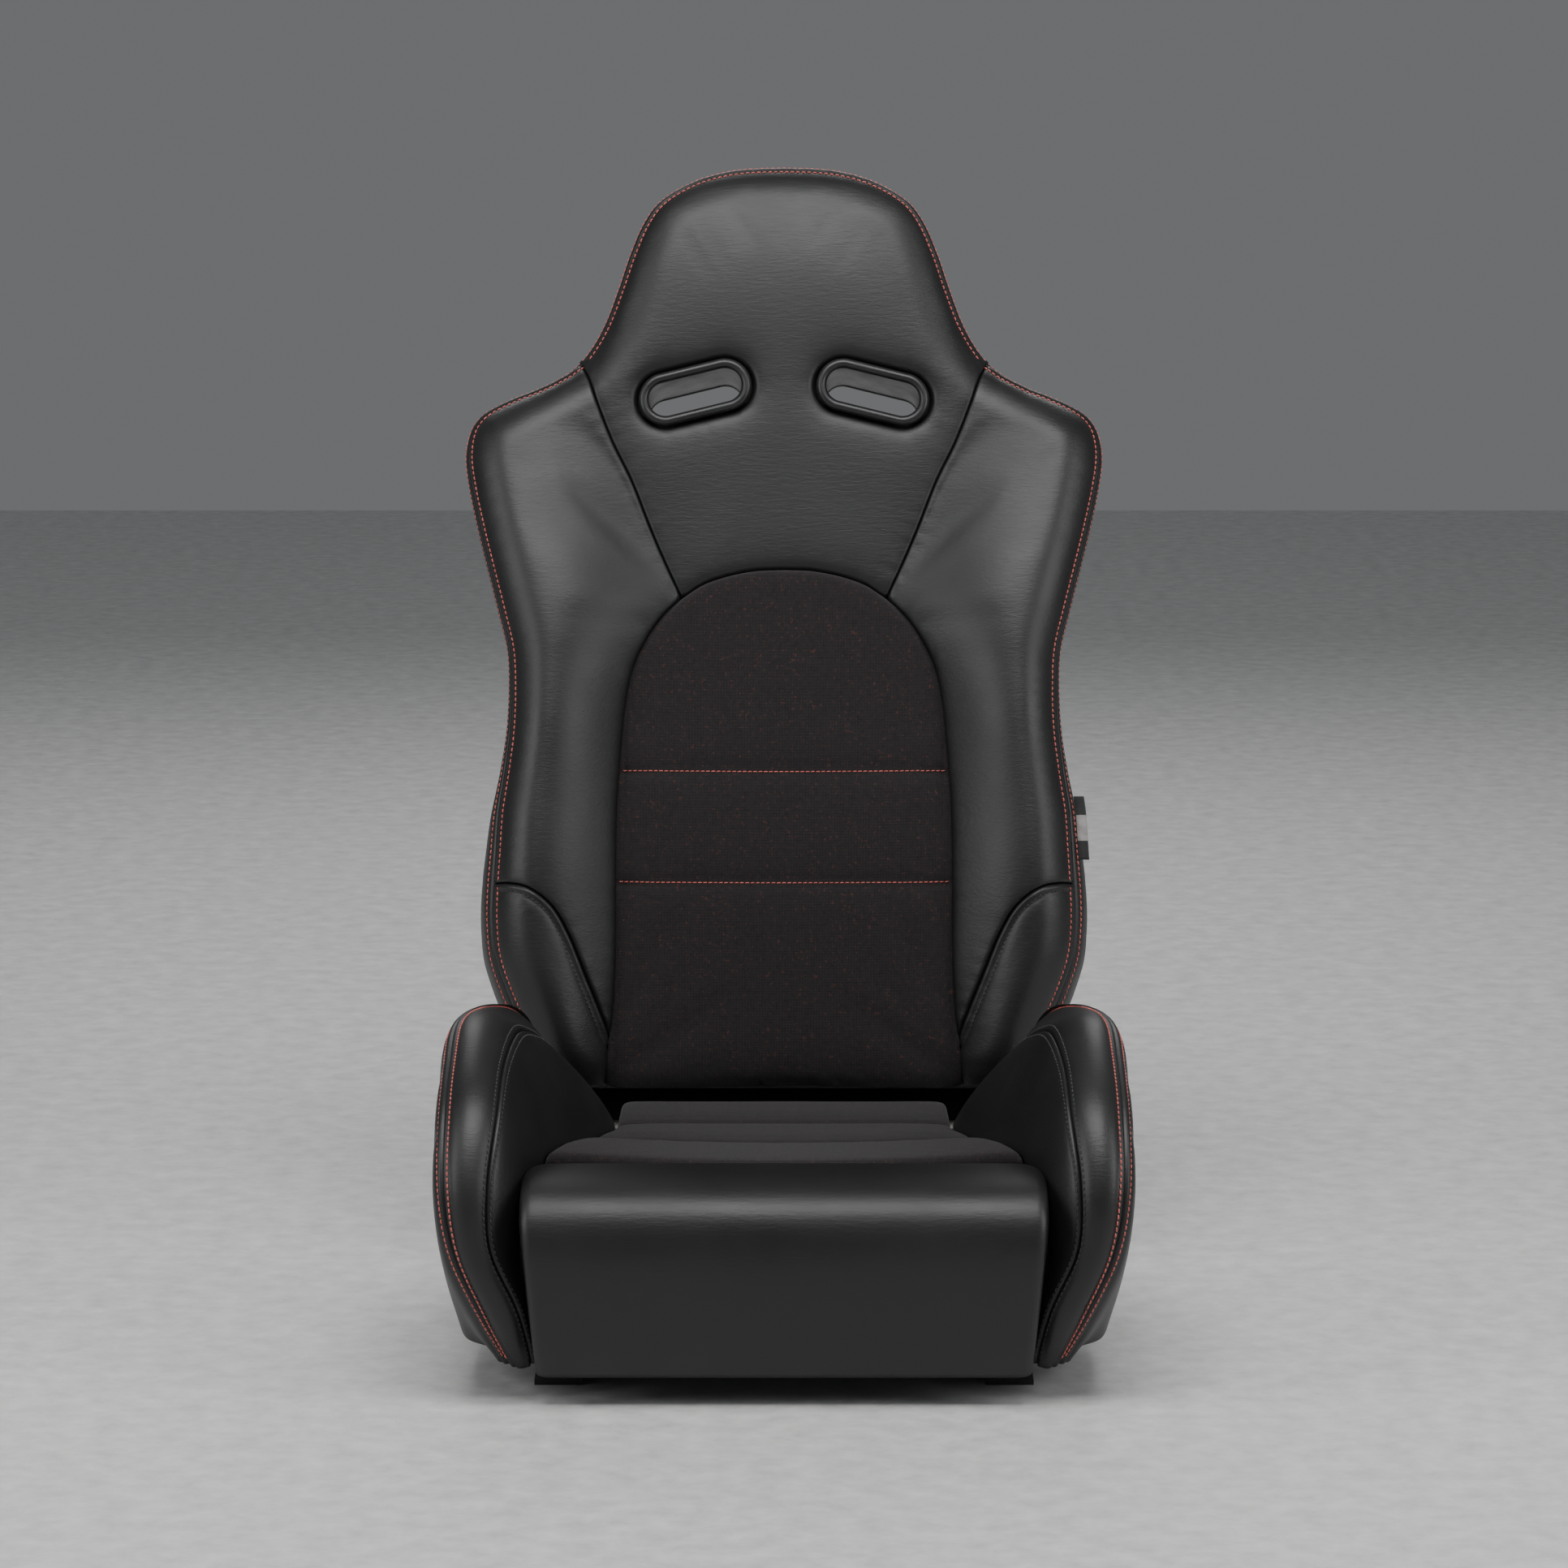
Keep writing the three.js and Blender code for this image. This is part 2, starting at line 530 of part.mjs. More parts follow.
function buildBolster() {
  const band = BOLSTER.map((station, k) => {
    const { outer, inner, drop } = station;
    const crown = (outer - inner) * 0.12 * (1 - drop / 35);
    const row = (depth) => [0, 0.3, 0.7, 1].map((v, i) => {
      const [y, z] = ridge(k, depth - (i % 3 ? crown : 0));
      return [inner + (outer - inner) * v, y, z - drop * (1 - v) ** 2];
    });
    return [...row(0), ...row(10).reverse()];
  });
  pair(base, 'bolster_band', skin(band), LEATHER);

  const innerPanel = BOLSTER.map(({ inner, foot, drop }, k) => {
    const [y, z] = ridge(k, 10 + GAP);
    const from = [inner, y, z - drop];
    const row = (shift) => LEVELS.map((v, i) => {
      const bulge = i % 3 && k > 4 ? 5 : 0;
      return from.map((a, axis) => a + (foot[axis] - a) * v + (axis === 0 ? shift - bulge : 0));
    });
    return [...row(0), ...row(10).reverse()];
  });
  pair(base, 'bolster_inner', skin(innerPanel), LEATHER);

  const side = BOLSTER.map(({ outer, drop, under }, k) => {
    const [y, z] = ridge(k, 10 + GAP + drop * 0.13);
    const row = (shift) => LEVELS.map((v, i) => {
      const x = outer - shift + (i % 3 ? 2 : 0) - tuck(outer) * v * v;
      return [x, y + (under[0] - y) * v, z + (under[1] - z) * v];
    });
    return [...row(0.2), ...row(10).reverse()];
  });
  pair(base, 'bolster_side', skin(side), LEATHER);

  // stepped underneath to sit over the frame's side tube
  const chain = (from, to) => LEVELS.map((v) => from.map((c, axis) => c + (to[axis] - c) * v));
  const core = BOLSTER.map(({ outer, inner, drop, foot, under }, k) => {
    const top = ridge(k, 14 + drop * 0.1);
    const step = RAIL.x + RAIL.radius + 4;
    const outerX = Math.max(outer - 12.5, step + 1);
    const shelfX = Math.min(Math.max(step, foot[0] + 12), outerX - 1);
    const shelfZ = Math.min(foot[2] - 4, Math.max(86, under[1] + 4));
    const innerTop = [Math.max(inner, foot[0]) + 11.5, top[0], top[1] - drop];
    const within = chain(innerTop, [foot[0] + 11.5, foot[1] + 1, foot[2]]);
    const outside = chain([outerX, ...top], [outerX, ...under]).map(([x, y, z], i) => (
      [Math.max(x - tuck(outer) * LEVELS[i] ** 2, step + 1), y, z]
    ));
    return [...within, [shelfX, under[0], shelfZ], [shelfX + 0.5, ...under], ...outside.reverse()];
  });
  pair(base, 'bolster_foam', skin(core.slice(1)), FOAM);
}

function widthAt(y) {
  return read(CUSHION_WIDTH, y);
}

function buildCushion() {
  const columns = [-1, -0.8, -0.4, 0, 0.4, 0.8, 1];
  const nose = NOSE.map((_, k) => {
    const row = (distance) => columns.map((u) => {
      const [y, z] = moved(NOSE, k, -distance);
      const half = Math.min(202, widthAt(y) - 1) - 12 * clamp01((150 - z) / 130);
      const roll = Math.abs(u) === 1 && distance === 0 ? 4 : 0;
      return [u * half, ...moved(NOSE, k, -distance - roll)];
    });
    return [...row(0), ...row(CUSHION_SKIN).reverse()];
  });
  add(base, 'cushion_nose', skin(nose), LEATHER);

  const top = TOP.map(([y, z], k) => {
    const half = widthAt(y) - 1;
    const rise = 7 * clamp01((60 - y) / 160);
    const upper = columns.map((u) => [u * half, ...moved(TOP, k, -rise * u * u)]);
    const lower = columns.map((u) => [u * half, ...moved(TOP, k, CUSHION_SKIN)]);
    return [...upper, ...lower.reverse()];
  });
  add(base, 'cushion_insert', skin(top), TWEED);

  const depth = CUSHION_SKIN + 1.2;
  const noseCore = NOSE.slice(1).map((_, k) => moved(NOSE, k + 1, -depth)).reverse();
  const topCore = TOP.map((_, k) => moved(TOP, k, depth)).slice(0, -1);
  const floor = [[168, 80], [-206, 80], [-226, 34]];
  const profile = [...noseCore, [-150, 155], ...topCore, ...floor];
  const block = plate(profile, -198, 396);
  const plan = [[-262, 196], ...CUSHION_WIDTH.slice(1).map(([y, half]) => [y, Math.min(half, 197) - 1.5])];
  const right = plan.map(([y, half]) => new THREE.Vector2(half, y));
  const left = plan.map(([y, half]) => new THREE.Vector2(-half, y)).reverse();
  const shape = new THREE.Shape([...right, ...left]);
  const prism = new THREE.ExtrudeGeometry(shape, { depth: 200, bevelEnabled: false });
  add(base, 'seat_foam', common(block, prism), FOAM);
}

function buildBaseFrame() {
  const { x, z, radius, front, rear } = RAIL;
  pair(base, 'frame_side', tube([[x, front, z], [x, rear, z]], radius, TUBE_WALL), STEEL);
  const [frontCross, rearCross] = [-186, 150];
  const reach = x - radius - GAP;
  for (const [name, y] of [['frame_cross_front', frontCross], ['frame_cross_rear', rearCross]]) {
    add(base, name, tube([[-reach, y, z], [reach, y, z]], CROSS_RADIUS, TUBE_WALL), STEEL);
  }
  const turns = 18;
  const springZ = z + CROSS_RADIUS + WIRE_RADIUS + GAP;
  for (const [i, at] of [-105, -35, 35, 105].entries()) {
    const bends = Array.from({ length: turns + 1 }, (_, k) => (
      [at + (k % 2 ? 16 : -16), frontCross + k * (rearCross - frontCross) / turns, springZ]
    ));
    add(base, `seat_spring_${i + 1}`, bar(bends, WIRE_RADIUS, 6), ZINC);
  }
  // channel rail under each side tube: outline in [x, z], run along y
  const top = z - radius - GAP;
  const [inside, outside, wall] = [x - 26, x + 12, 4];
  const lower = [[inside, 0], [outside, 0], [outside, wall], [inside + wall, wall]];
  const upper = [[inside + wall, top - wall], [outside, top - wall], [outside, top], [inside, top]];
  const channel = [...lower, ...upper];
  const shape = new THREE.Shape(channel.map((p) => new THREE.Vector2(...p)));
  const rail = new THREE.ExtrudeGeometry(shape, { depth: 400, bevelEnabled: false });
  rail.applyMatrix4(new THREE.Matrix4().set(1, 0, 0, 0, 0, 0, -1, 225, 0, 1, 0, 0, 0, 0, 0, 1));
  pair(base, 'mount_rail', rail, STEEL);
}

// Flat spiral of strip steel round the recliner axis.
function clockSpring() {
  const [turns, steps, thick, width] = [2.5, 34, 1.8, 8];
  const x = STACK.spring;
  const loops = Array.from({ length: steps + 1 }, (_, i) => {
    const angle = 2 * Math.PI * turns * i / steps;
    const radius = 11 + 18 * i / steps;
    const section = [[radius, x], [radius + thick, x], [radius + thick, x + width], [radius, x + width]];
    return section.map(([r, along]) => [along, r * Math.cos(angle), r * Math.sin(angle)]);
  });
  return skin(loops);
}

function buildRecliners() {
  const x = STACK.fixedDisc;
  const disc = [[BORE, x], [26, x], [31, x + 2.6], [31, x + 7.6], [BORE, x + 7.6]];
  pair(pivotSide, 'recliner_fixed_disc', turned(disc), ZINC);

  const boss = arc(0, 0, 32, -30, 205, 18);
  const lower = [[-88, -75], [24, -75], [24, -40], ...boss, [-40, -42], [-88, -50]];
  const holes = [[0, 0, BORE], [BOLT.y, BOLT.z, BOLT.shank + 0.5]];
  pair(pivotSide, 'recliner_plate', plate(lower, STACK.plate, PLATE_THICK, holes), STEEL);

  const [rim, face] = [STACK.cover, STACK.cover + 23.6];
  const outside = [[9, face], [33, face], [36, face - 3], [36, rim]];
  const inside = [[33.5, rim], [33.5, face - 4], [32, face - 2.5], [9, face - 2.5]];
  pair(pivotSide, 'recliner_cover', turned([...outside, ...inside]), PLASTIC);
  pair(pivotSide, 'return_spring', clockSpring(), ZINC);

  const seatFace = STACK.plate + PLATE_THICK + 0.3;
  const steps = [
    [BOLT.shank, STACK.plate + 0.2],
    [BOLT.shank, seatFace],
    [BOLT.head, seatFace],
    [BOLT.head, seatFace + 4.7],
    [BOLT.head - 2, seatFace + 6.1],
  ];
  const bolt = steps.map(([radius, along]) => (
    ring(12, (angle) => [along, BOLT.y + radius * Math.cos(angle), BOLT.z + radius * Math.sin(angle)])
  ));
  pair(pivotSide, 'frame_bolt', skin(bolt), ZINC);
}

// ---------- release lever ----------
function buildLever() {
  add(lever, 'cross_shaft', bar([[-218, 0, 0], [237, 0, 0]], SHAFT_RADIUS, 16), ZINC);
  const [x, thick] = [STACK.lever, 4];
  const arm = [...arc(0, 0, 15, -70, 118, 12), [-60, 22], [-112, 26], [-112, 12], [-60, 6]];
  add(lever, 'release_lever', plate(arm, x, thick, [[0, 0, SHAFT_RADIUS + 0.5]]), STEEL);
  // sections of the grip: [y, half-height]
  const sections = [[-84, 8], [-87, 11], [-105, 12.5], [-130, 12], [-146, 10], [-152, 6]];
  const squared = (v) => Math.sign(v) * Math.abs(v) ** 0.7;
  const grip = sections.map(([y, half]) => ring(16, (angle) => {
    const middle = 19 - (y + 84) * 0.06;
    const out = 0.75 * half * squared(Math.cos(angle));
    return [x + thick / 2 + out, y, middle + half * squared(Math.sin(angle))];
  }));
  const held = arm.filter(([y]) => y <= -60);
  const pocket = plate(inset(held, -GAP), x - GAP, thick + 2 * GAP);
  add(lever, 'lever_grip', cut(skin(grip), pocket), PLASTIC);
}

buildBackCovers();
buildBackBody();
buildBoxing();
buildBackFrame();
buildHarnessSlots();
buildSideTab();
buildBolster();
buildCushion();
buildBaseFrame();
buildRecliners();
buildLever();

export default seat;
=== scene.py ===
import json
import math

import bpy
import numpy as np
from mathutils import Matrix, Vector
from mathutils.bvhtree import BVHTree
from mathutils.geometry import delaunay_2d_cdt


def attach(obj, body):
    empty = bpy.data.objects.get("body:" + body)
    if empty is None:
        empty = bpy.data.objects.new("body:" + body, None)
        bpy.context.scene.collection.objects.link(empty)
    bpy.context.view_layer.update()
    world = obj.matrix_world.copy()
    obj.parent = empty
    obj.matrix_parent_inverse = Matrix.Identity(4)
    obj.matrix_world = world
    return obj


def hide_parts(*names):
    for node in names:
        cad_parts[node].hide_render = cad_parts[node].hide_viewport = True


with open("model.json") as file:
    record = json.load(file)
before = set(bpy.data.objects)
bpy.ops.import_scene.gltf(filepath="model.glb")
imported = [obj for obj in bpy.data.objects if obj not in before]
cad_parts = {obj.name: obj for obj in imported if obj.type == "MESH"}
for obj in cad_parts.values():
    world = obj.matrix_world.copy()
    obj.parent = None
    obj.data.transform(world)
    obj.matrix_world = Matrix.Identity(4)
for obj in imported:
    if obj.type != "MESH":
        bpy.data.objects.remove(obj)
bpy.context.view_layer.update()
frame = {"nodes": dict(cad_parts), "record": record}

# ---- driving values, millimetres
ORIGIN_Y = 107.574
PIVOT_Y, PIVOT_Z = 215.0, 120.0
RECLINE = math.radians(16)
SEED = 7

# Cloth simulation of the covers, and how far it may move a point.
PUFF_FRAMES, PUFF_QUALITY = 12, 4
PANEL_CAP, STRIP_CAP = 5.0, 4.0
HELD_GAP = 3.0

# Backrest, in its own plane: x across, s up the back, n out of the front.
OUTLINE = [[34, 194], [45, 203], [60, 212], [83, 221], [111, 233], [138, 242], [165, 245], [192, 245],
    [226, 243], [261, 241], [296, 236], [331, 232], [366, 231], [401, 233], [435, 241], [470, 250],
    [506, 259], [542, 267], [570, 271], [592, 269], [606, 262], [616, 250], [626, 230], [636, 206],
    [650, 182], [668, 166], [692, 153], [722, 142], [752, 132], [780, 120], [800, 105], [816, 80],
    [825, 55]]
TOP_FLAT = [[30, 829], [0, 830]]
CENTRE = [[34, 38], [45, 46], [60, 51], [110, 54], [200, 56], [300, 51], [400, 46], [560, 41], [720, 38],
    [780, 33], [807, 27], [830, 17]]
REAR = [[34, -46], [200, -50], [400, -48], [600, -42], [700, -38], [830, -30]]
RISE = [[34, 30], [83, 36], [140, 41], [220, 43], [330, 43], [400, 40], [470, 32], [520, 23], [570, 14],
    [611, 6], [655, 0]]
DROP = [[34, 24], [300, 24], [570, 22], [722, 19], [780, 13], [830, 7]]
ROOT = [[34, 146], [66, 143], [147, 136], [305, 134], [353, 132], [386, 126], [424, 106], [448, 90],
    [509, 114], [550, 130], [583, 146], [616, 159], [655, 171]]
EDGE_ROLL = 38.0
RIDGE = 0.74
LOW_WING = 0.7
LOW_WING_TOP, LOW_WING_FADE = 500, 120
REAR_ROLL, REAR_SINK = 30, 6
BACK_FOOT = 34

ARCH = [[0, 473], [20, 472.5], [37, 470], [53, 466], [70, 459.5], [87, 448]]
HEAD_SEAM = [[87, 448], [100, 476], [114, 509], [130, 550], [146, 583], [159, 616], [167, 640], [176, 658]]
INSERT_SIDE = [[87, 448], [103, 432], [117, 411], [128, 386], [134, 353], [138, 305], [140.5, 264],
    [141, 203], [141, 147], [143, 97], [146, 72]]
INSERT_FOOT = [[146, 72], [148, 55], [150, 34]]
HIP_SEAM = [[146, 72], [154, 92], [167, 124], [180, 156], [194, 180], [213, 195], [231, 200], [245, 201]]
QUILT_LINES = (298.0, 203.0)
SLOT_X, SLOT_S, SLOT_TILT = 76.0, 627.0, math.radians(14)
SLOT_STRAIGHT, RING_RADIUS, RING_TUBE = 52.0, 18.75, 4.25

# Base bolster stations: ridge y, z, half-widths of the two seams, how far the inner seam lies below
# the outer one, foot at the cushion, underside y, z.
BOLSTER = np.array([
    [-215, 28, 219, 197, 0, 197, -188, 34, -176, 30],
    [-238, 75, 240, 206, 0, 207, -198, 72, -172, 34],
    [-247, 125, 260, 227, 0, 207, -203, 112, -164, 36],
    [-240, 175, 268, 229, 0, 206, -202, 148, -152, 38],
    [-205, 222, 269, 223, 0, 204, -184, 162, -136, 38],
    [-150, 252, 268, 220, 2, 192, -142, 164, -110, 38],
    [-85, 270, 266, 213, 8, 176, -88, 160, -66, 38],
    [-20, 271, 254, 205, 22, 158, -22, 154, -20, 38],
    [40, 261, 234, 197, 32, 143, 36, 150, 18, 44],
    [76, 240, 220, 191, 30, 140, 68, 148, 44, 58],
    [96, 208, 214, 188, 18, 140, 84, 146, 58, 76],
    [106, 168, 212, 188, 8, 140, 92, 142, 66, 96],
], float)
SEAM_INSET = 6.0

NOSE = [[-146, 169], [-180, 173], [-212, 173], [-238, 167], [-255, 151], [-262, 126], [-260, 90],
    [-252, 52], [-242, 26]]
TOP = [[-143.5, 169], [-104, 168], [-60, 164], [-20, 160], [30, 157], [90, 154], [145, 153], [164, 150],
    [177, 136], [182, 106]]
REAR_HEM = [165.0, 2.0]
CUSHION_WIDTH = [[-262, 203], [-214, 203], [-184, 202], [-142, 189], [-88, 173], [-22, 155], [36, 140],
    [182, 137]]
CUSHION_CHANNELS = (-28.0, 74.0)
CUSHION_DEPTH = 10

# Dips beside a quilting line and a sewn channel: depth and reach of each.
QUILT_DIPS = ((2.6, 3.2), (1.6, 14))
CHANNEL_DIPS = ((3.6, 4.5), (3.0, 18))

# Side panel of the backrest: swell low down, hold at its seams, and where it tightens round the head.
BOXING_SWELL, BOXING_SWELL_TOP, BOXING_SWELL_FADE = 9, 340, 160
BOXING_HOLD, BOXING_HOLD_FOOT, BOXING_HOLD_FADE = 0.55, 300, 120
BOXING_REACH = 11.0
HEAD_HOLD, HEAD_HOLD_FOOT, HEAD_HOLD_FADE = 0.9, 572, 26
GATHER_AT, GATHER_SPAN, GATHER_SIZE = 95, 45, 3.0

# Height of a cover above its base surface by distance from a seam, by the kind of seam.
FRENCH = [[0, -0.6], [0.5, 0.1], [1.2, 1.1], [2.2, 1.7], [3.4, 1.7], [4.3, 1.1], [4.8, 0.8], [5.4, 1.1],
    [6.6, 1.8], [9, 2.5], [14, 3.2], [24, 3.6]]
PLAIN = [[0, -0.5], [0.5, 1.1], [1.2, 2.2], [2.2, 2.7], [4, 3.0], [8, 3.3], [16, 3.5], [24, 3.6]]
TOPSTITCHED = [[0, -0.4], [0.5, 1.0], [1.2, 2.4], [2.2, 3.0], [3.4, 2.7], [4.4, 3.0], [8, 3.4], [24, 3.6]]
SUNK = [[0, -2.0], [0.6, -0.7], [1.6, 0.9], [3, 1.9], [6, 2.8], [11, 3.3], [24, 3.6]]
ROLLED = [[0, -1.0], [0.6, 0.6], [1.6, 2.4], [3, 3.3], [4.6, 3.2], [6, 2.2], [6.8, 1.6], [7.8, 2.1],
    [11, 3.0], [24, 3.6]]
HOLE = [[0, -3.2], [0.8, -1.4], [2, 0.0], [4, 1.4], [7, 2.5], [12, 3.2], [24, 3.6]]
FULL = 3.6
RINGS = (0.55, 1.2, 2.2, 3.4, 4.8, 6.6, 9, 12.5, 17)
STITCH_LINE = 4.8
STITCH_PITCH = 4.8
STITCH_FILL, STITCH_SLANT = 0.8, 0.06
COVER = 6.0
PUCKER_DEPTH, PUCKER_REACH = 0.085, 8

# Stage, metres and watts. Each light: name, place, aim, size, power.
LENS = 131.534
CAMERA_FAR, CAMERA_RISE, CAMERA_AIM = 4.6, math.radians(9), 0.45
SKY, SKY_STRENGTH = (0.8, 0.82, 0.85, 1), 0.19
FLOOR_REACH = 6
LIGHTS = (
    ("overhead", (0.0, -1.1, 2.7), (0, 0.05, 0.4), (1.9, 1.3), 58),
    ("left", (-2.2, -1.2, 1.5), (0, 0, 0.5), (0.8, 1.7), 24),
    ("right", (2.2, -1.2, 1.5), (0, 0, 0.5), (0.8, 1.7), 24),
    ("back", (0.0, 2.6, 2.3), (0, 0, 0.4), (2.2, 1.0), 30),
)


# ---- numbers and curves
def read(table, key):
    """Smooth reading of a [key, value] table, without overshoot."""
    keys, values = np.array(table, float).T
    step = np.diff(keys)
    rate = np.diff(values) / step
    slope = np.zeros_like(values)
    slope[0], slope[-1] = rate[0], rate[-1]
    product = rate[:-1] * rate[1:]
    total = rate[:-1] + rate[1:]
    safe = np.where(product > 0, total, 1.0)
    slope[1:-1] = np.where(product > 0, 2 * product / safe, 0.0)
    at = np.clip(key, keys[0], keys[-1])
    i = np.clip(np.searchsorted(keys, at, side="right") - 1, 0, len(step) - 1)
    t = (at - keys[i]) / step[i]
    t2, t3 = t * t, t * t * t
    return (values[i] * (2 * t3 - 3 * t2 + 1) + values[i + 1] * (3 * t2 - 2 * t3)
            + step[i] * (slope[i] * (t3 - 2 * t2 + t) + slope[i + 1] * (t3 - t2)))


def smooth(v):
    v = np.clip(v, 0.0, 1.0)
    return v * v * (3 - 2 * v)


def resample(points, step):
    points = np.asarray(points, float)
    length = lengths(points)
    count = max(2, int(round(length[-1] / step)) + 1)
    at = np.linspace(0, length[-1], count)
    return np.stack([np.interp(at, length, points[:, c]) for c in range(points.shape[1])], axis=1)


def spline(points, step=3.6):
    """Smooth curve through the points, resampled a step apart."""
    p = np.asarray(points, float)
    p = np.vstack([2 * p[0] - p[1], p, 2 * p[-1] - p[-2]])
    t = np.linspace(0, 1, 14, endpoint=False)[:, None]
    parts = []
    for i in range(1, len(p) - 2):
        a, b, c, d = p[i - 1:i + 3]
        parts.append(0.5 * (2 * b + (c - a) * t + (2 * a - 5 * b + 4 * c - d) * t ** 2
                            + (3 * b - a - 3 * c + d) * t ** 3))
    parts.append(p[-2:-1])
    return resample(np.vstack(parts), step)


def lengths(line):
    """Distance along a polyline at each of its points."""
    return np.concatenate([[0], np.cumsum(np.linalg.norm(np.diff(line, axis=0), axis=1))])


def unit(vectors):
    return vectors / np.linalg.norm(vectors, axis=1)[:, None]


def flip(points):
    return np.asarray(points)[::-1] * [-1, 1]


def join(*parts):
    """One open polyline from parts that share their ends."""
    out = [np.asarray(parts[0], float)]
    for part in parts[1:]:
        out.append(np.asarray(part, float)[1:])
    return np.vstack(out)


def distance(points, line):
    """Distance of each point from a polyline, and how far along the line its nearest point is."""
    a, along = line[:-1], np.diff(line, axis=0)
    size = np.maximum((along ** 2).sum(axis=1), 1e-9)
    start = np.concatenate([[0], np.cumsum(np.sqrt(size))])[:-1]
    best, where = [], []
    for chunk in np.array_split(points, max(1, len(points) // 1500)):
        offset = chunk[:, None] - a[None]
        t = np.clip((offset * along).sum(axis=2) / size, 0, 1)
        gap = np.linalg.norm(offset - t[..., None] * along, axis=2)
        i = gap.argmin(axis=1)
        rows = np.arange(len(chunk))
        best.append(gap[rows, i])
        where.append(start[i] + t[rows, i] * np.sqrt(size[i]))
    return np.concatenate(best), np.concatenate(where)


def inside(points, loop):
    x, y = points[:, 0][:, None], points[:, 1][:, None]
    x0, y0 = loop[:, 0], loop[:, 1]
    x1, y1 = np.roll(x0, -1), np.roll(y0, -1)
    crosses = (y0 > y) != (y1 > y)
    rise = np.where(np.abs(y1 - y0) < 1e-12, 1e-12, y1 - y0)
    return (crosses & (x < (x1 - x0) * (y - y0) / rise + x0)).sum(axis=1) % 2 == 1


def offset(line, amount):
    """Polyline moved to its left by an amount."""
    along = unit(np.gradient(line, axis=0))
    return line + amount * np.stack([-along[:, 1], along[:, 0]], axis=1)


# ---- backrest surfaces
RIGHT_EDGE = spline([[w, s] for s, w in OUTLINE] + TOP_FLAT)
EDGE = join(RIGHT_EDGE, flip(RIGHT_EDGE))


def front_depth(points):
    x, s = np.abs(points[:, 0]), points[:, 1]
    width = read(OUTLINE, np.minimum(s, 824))
    root = read(ROOT, s)
    v = np.clip((x - root) / (width - root) / RIDGE, 0, 1)
    low = LOW_WING * smooth((LOW_WING_TOP - s) / LOW_WING_FADE)
    wing = smooth(v) + low * (v * (2 - v) - smooth(v))
    roll = np.clip(1 - distance(points, EDGE)[0] / EDGE_ROLL, 0, 1)
    return read(CENTRE, s) + read(RISE, s) * wing - read(DROP, s) * roll ** 2


def rear_depth(points):
    roll = np.clip(1 - distance(points, EDGE)[0] / REAR_ROLL, 0, 1)
    return read(REAR, points[:, 1]) - REAR_SINK * (1 - roll ** 2)


def on_back(points, n):
    """Points of the backrest's plane at depth n, as working millimetres."""
    s = points[:, 1]
    y = PIVOT_Y + s * math.sin(RECLINE) - n * math.cos(RECLINE)
    z = PIVOT_Z + s * math.cos(RECLINE) + n * math.sin(RECLINE)
    return np.stack([points[:, 0], y, z], axis=1)


OUT_OF_BACK = np.array([0, -math.cos(RECLINE), math.sin(RECLINE)])
UP_BACK = np.array([0, math.sin(RECLINE), math.cos(RECLINE)])


# ---- meshes
def normals(verts, faces):
    faces = np.asarray(faces)
    total = np.zeros_like(verts)
    first = verts[faces[:, 0]]
    for i in range(1, faces.shape[1] - 1):
        cross = np.cross(verts[faces[:, i]] - first, verts[faces[:, i + 1]] - first)
        for corner in range(faces.shape[1]):
            np.add.at(total, faces[:, corner], cross)
    size = np.linalg.norm(total, axis=1)[:, None]
    return total / np.maximum(size, 1e-12)


def create(name, verts, faces, look):
    """New mesh object from working millimetres."""
    mesh = bpy.data.meshes.new(name)
    row = (np.asarray(verts, float) - [0, ORIGIN_Y, 0]) / 1000
    mesh.from_pydata(row.tolist(), [], [list(map(int, f)) for f in faces])
    mesh.validate()
    mesh.update()
    obj = bpy.data.objects.new(name, mesh)
    bpy.context.scene.collection.objects.link(obj)
    mesh.polygons.foreach_set("use_smooth", [True] * len(mesh.polygons))
    if look:
        mesh.materials.append(look)
    return obj


def closed(verts, faces, loops, lower):
    """Verts and faces of a body whose outer face is given, with an inner face of the same layout."""
    count = len(verts)
    out = [list(f) for f in faces]
    out += [[i + count for i in reversed(f)] for f in faces]
    for loop in loops:
        for a, b in zip(loop, np.roll(loop, -1)):
            out.append([b, a, a + count, b + count])
    return np.vstack([verts, lower]), out


def grid_faces(rows, columns, ring_rows=False, ring_columns=False):
    """Quads over a grid of points, which may close on itself either way."""
    faces = []
    for i in range(rows if ring_rows else rows - 1):
        for j in range(columns if ring_columns else columns - 1):
            a, b, k = i * columns, (i + 1) % rows * columns, (j + 1) % columns
            faces.append([a + j, a + k, b + k, b + j])
    return np.array(faces)


def finish_piece(obj, body, slot, *nodes, fill=None):
    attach(obj, body)
    if nodes:
        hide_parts(*nodes)


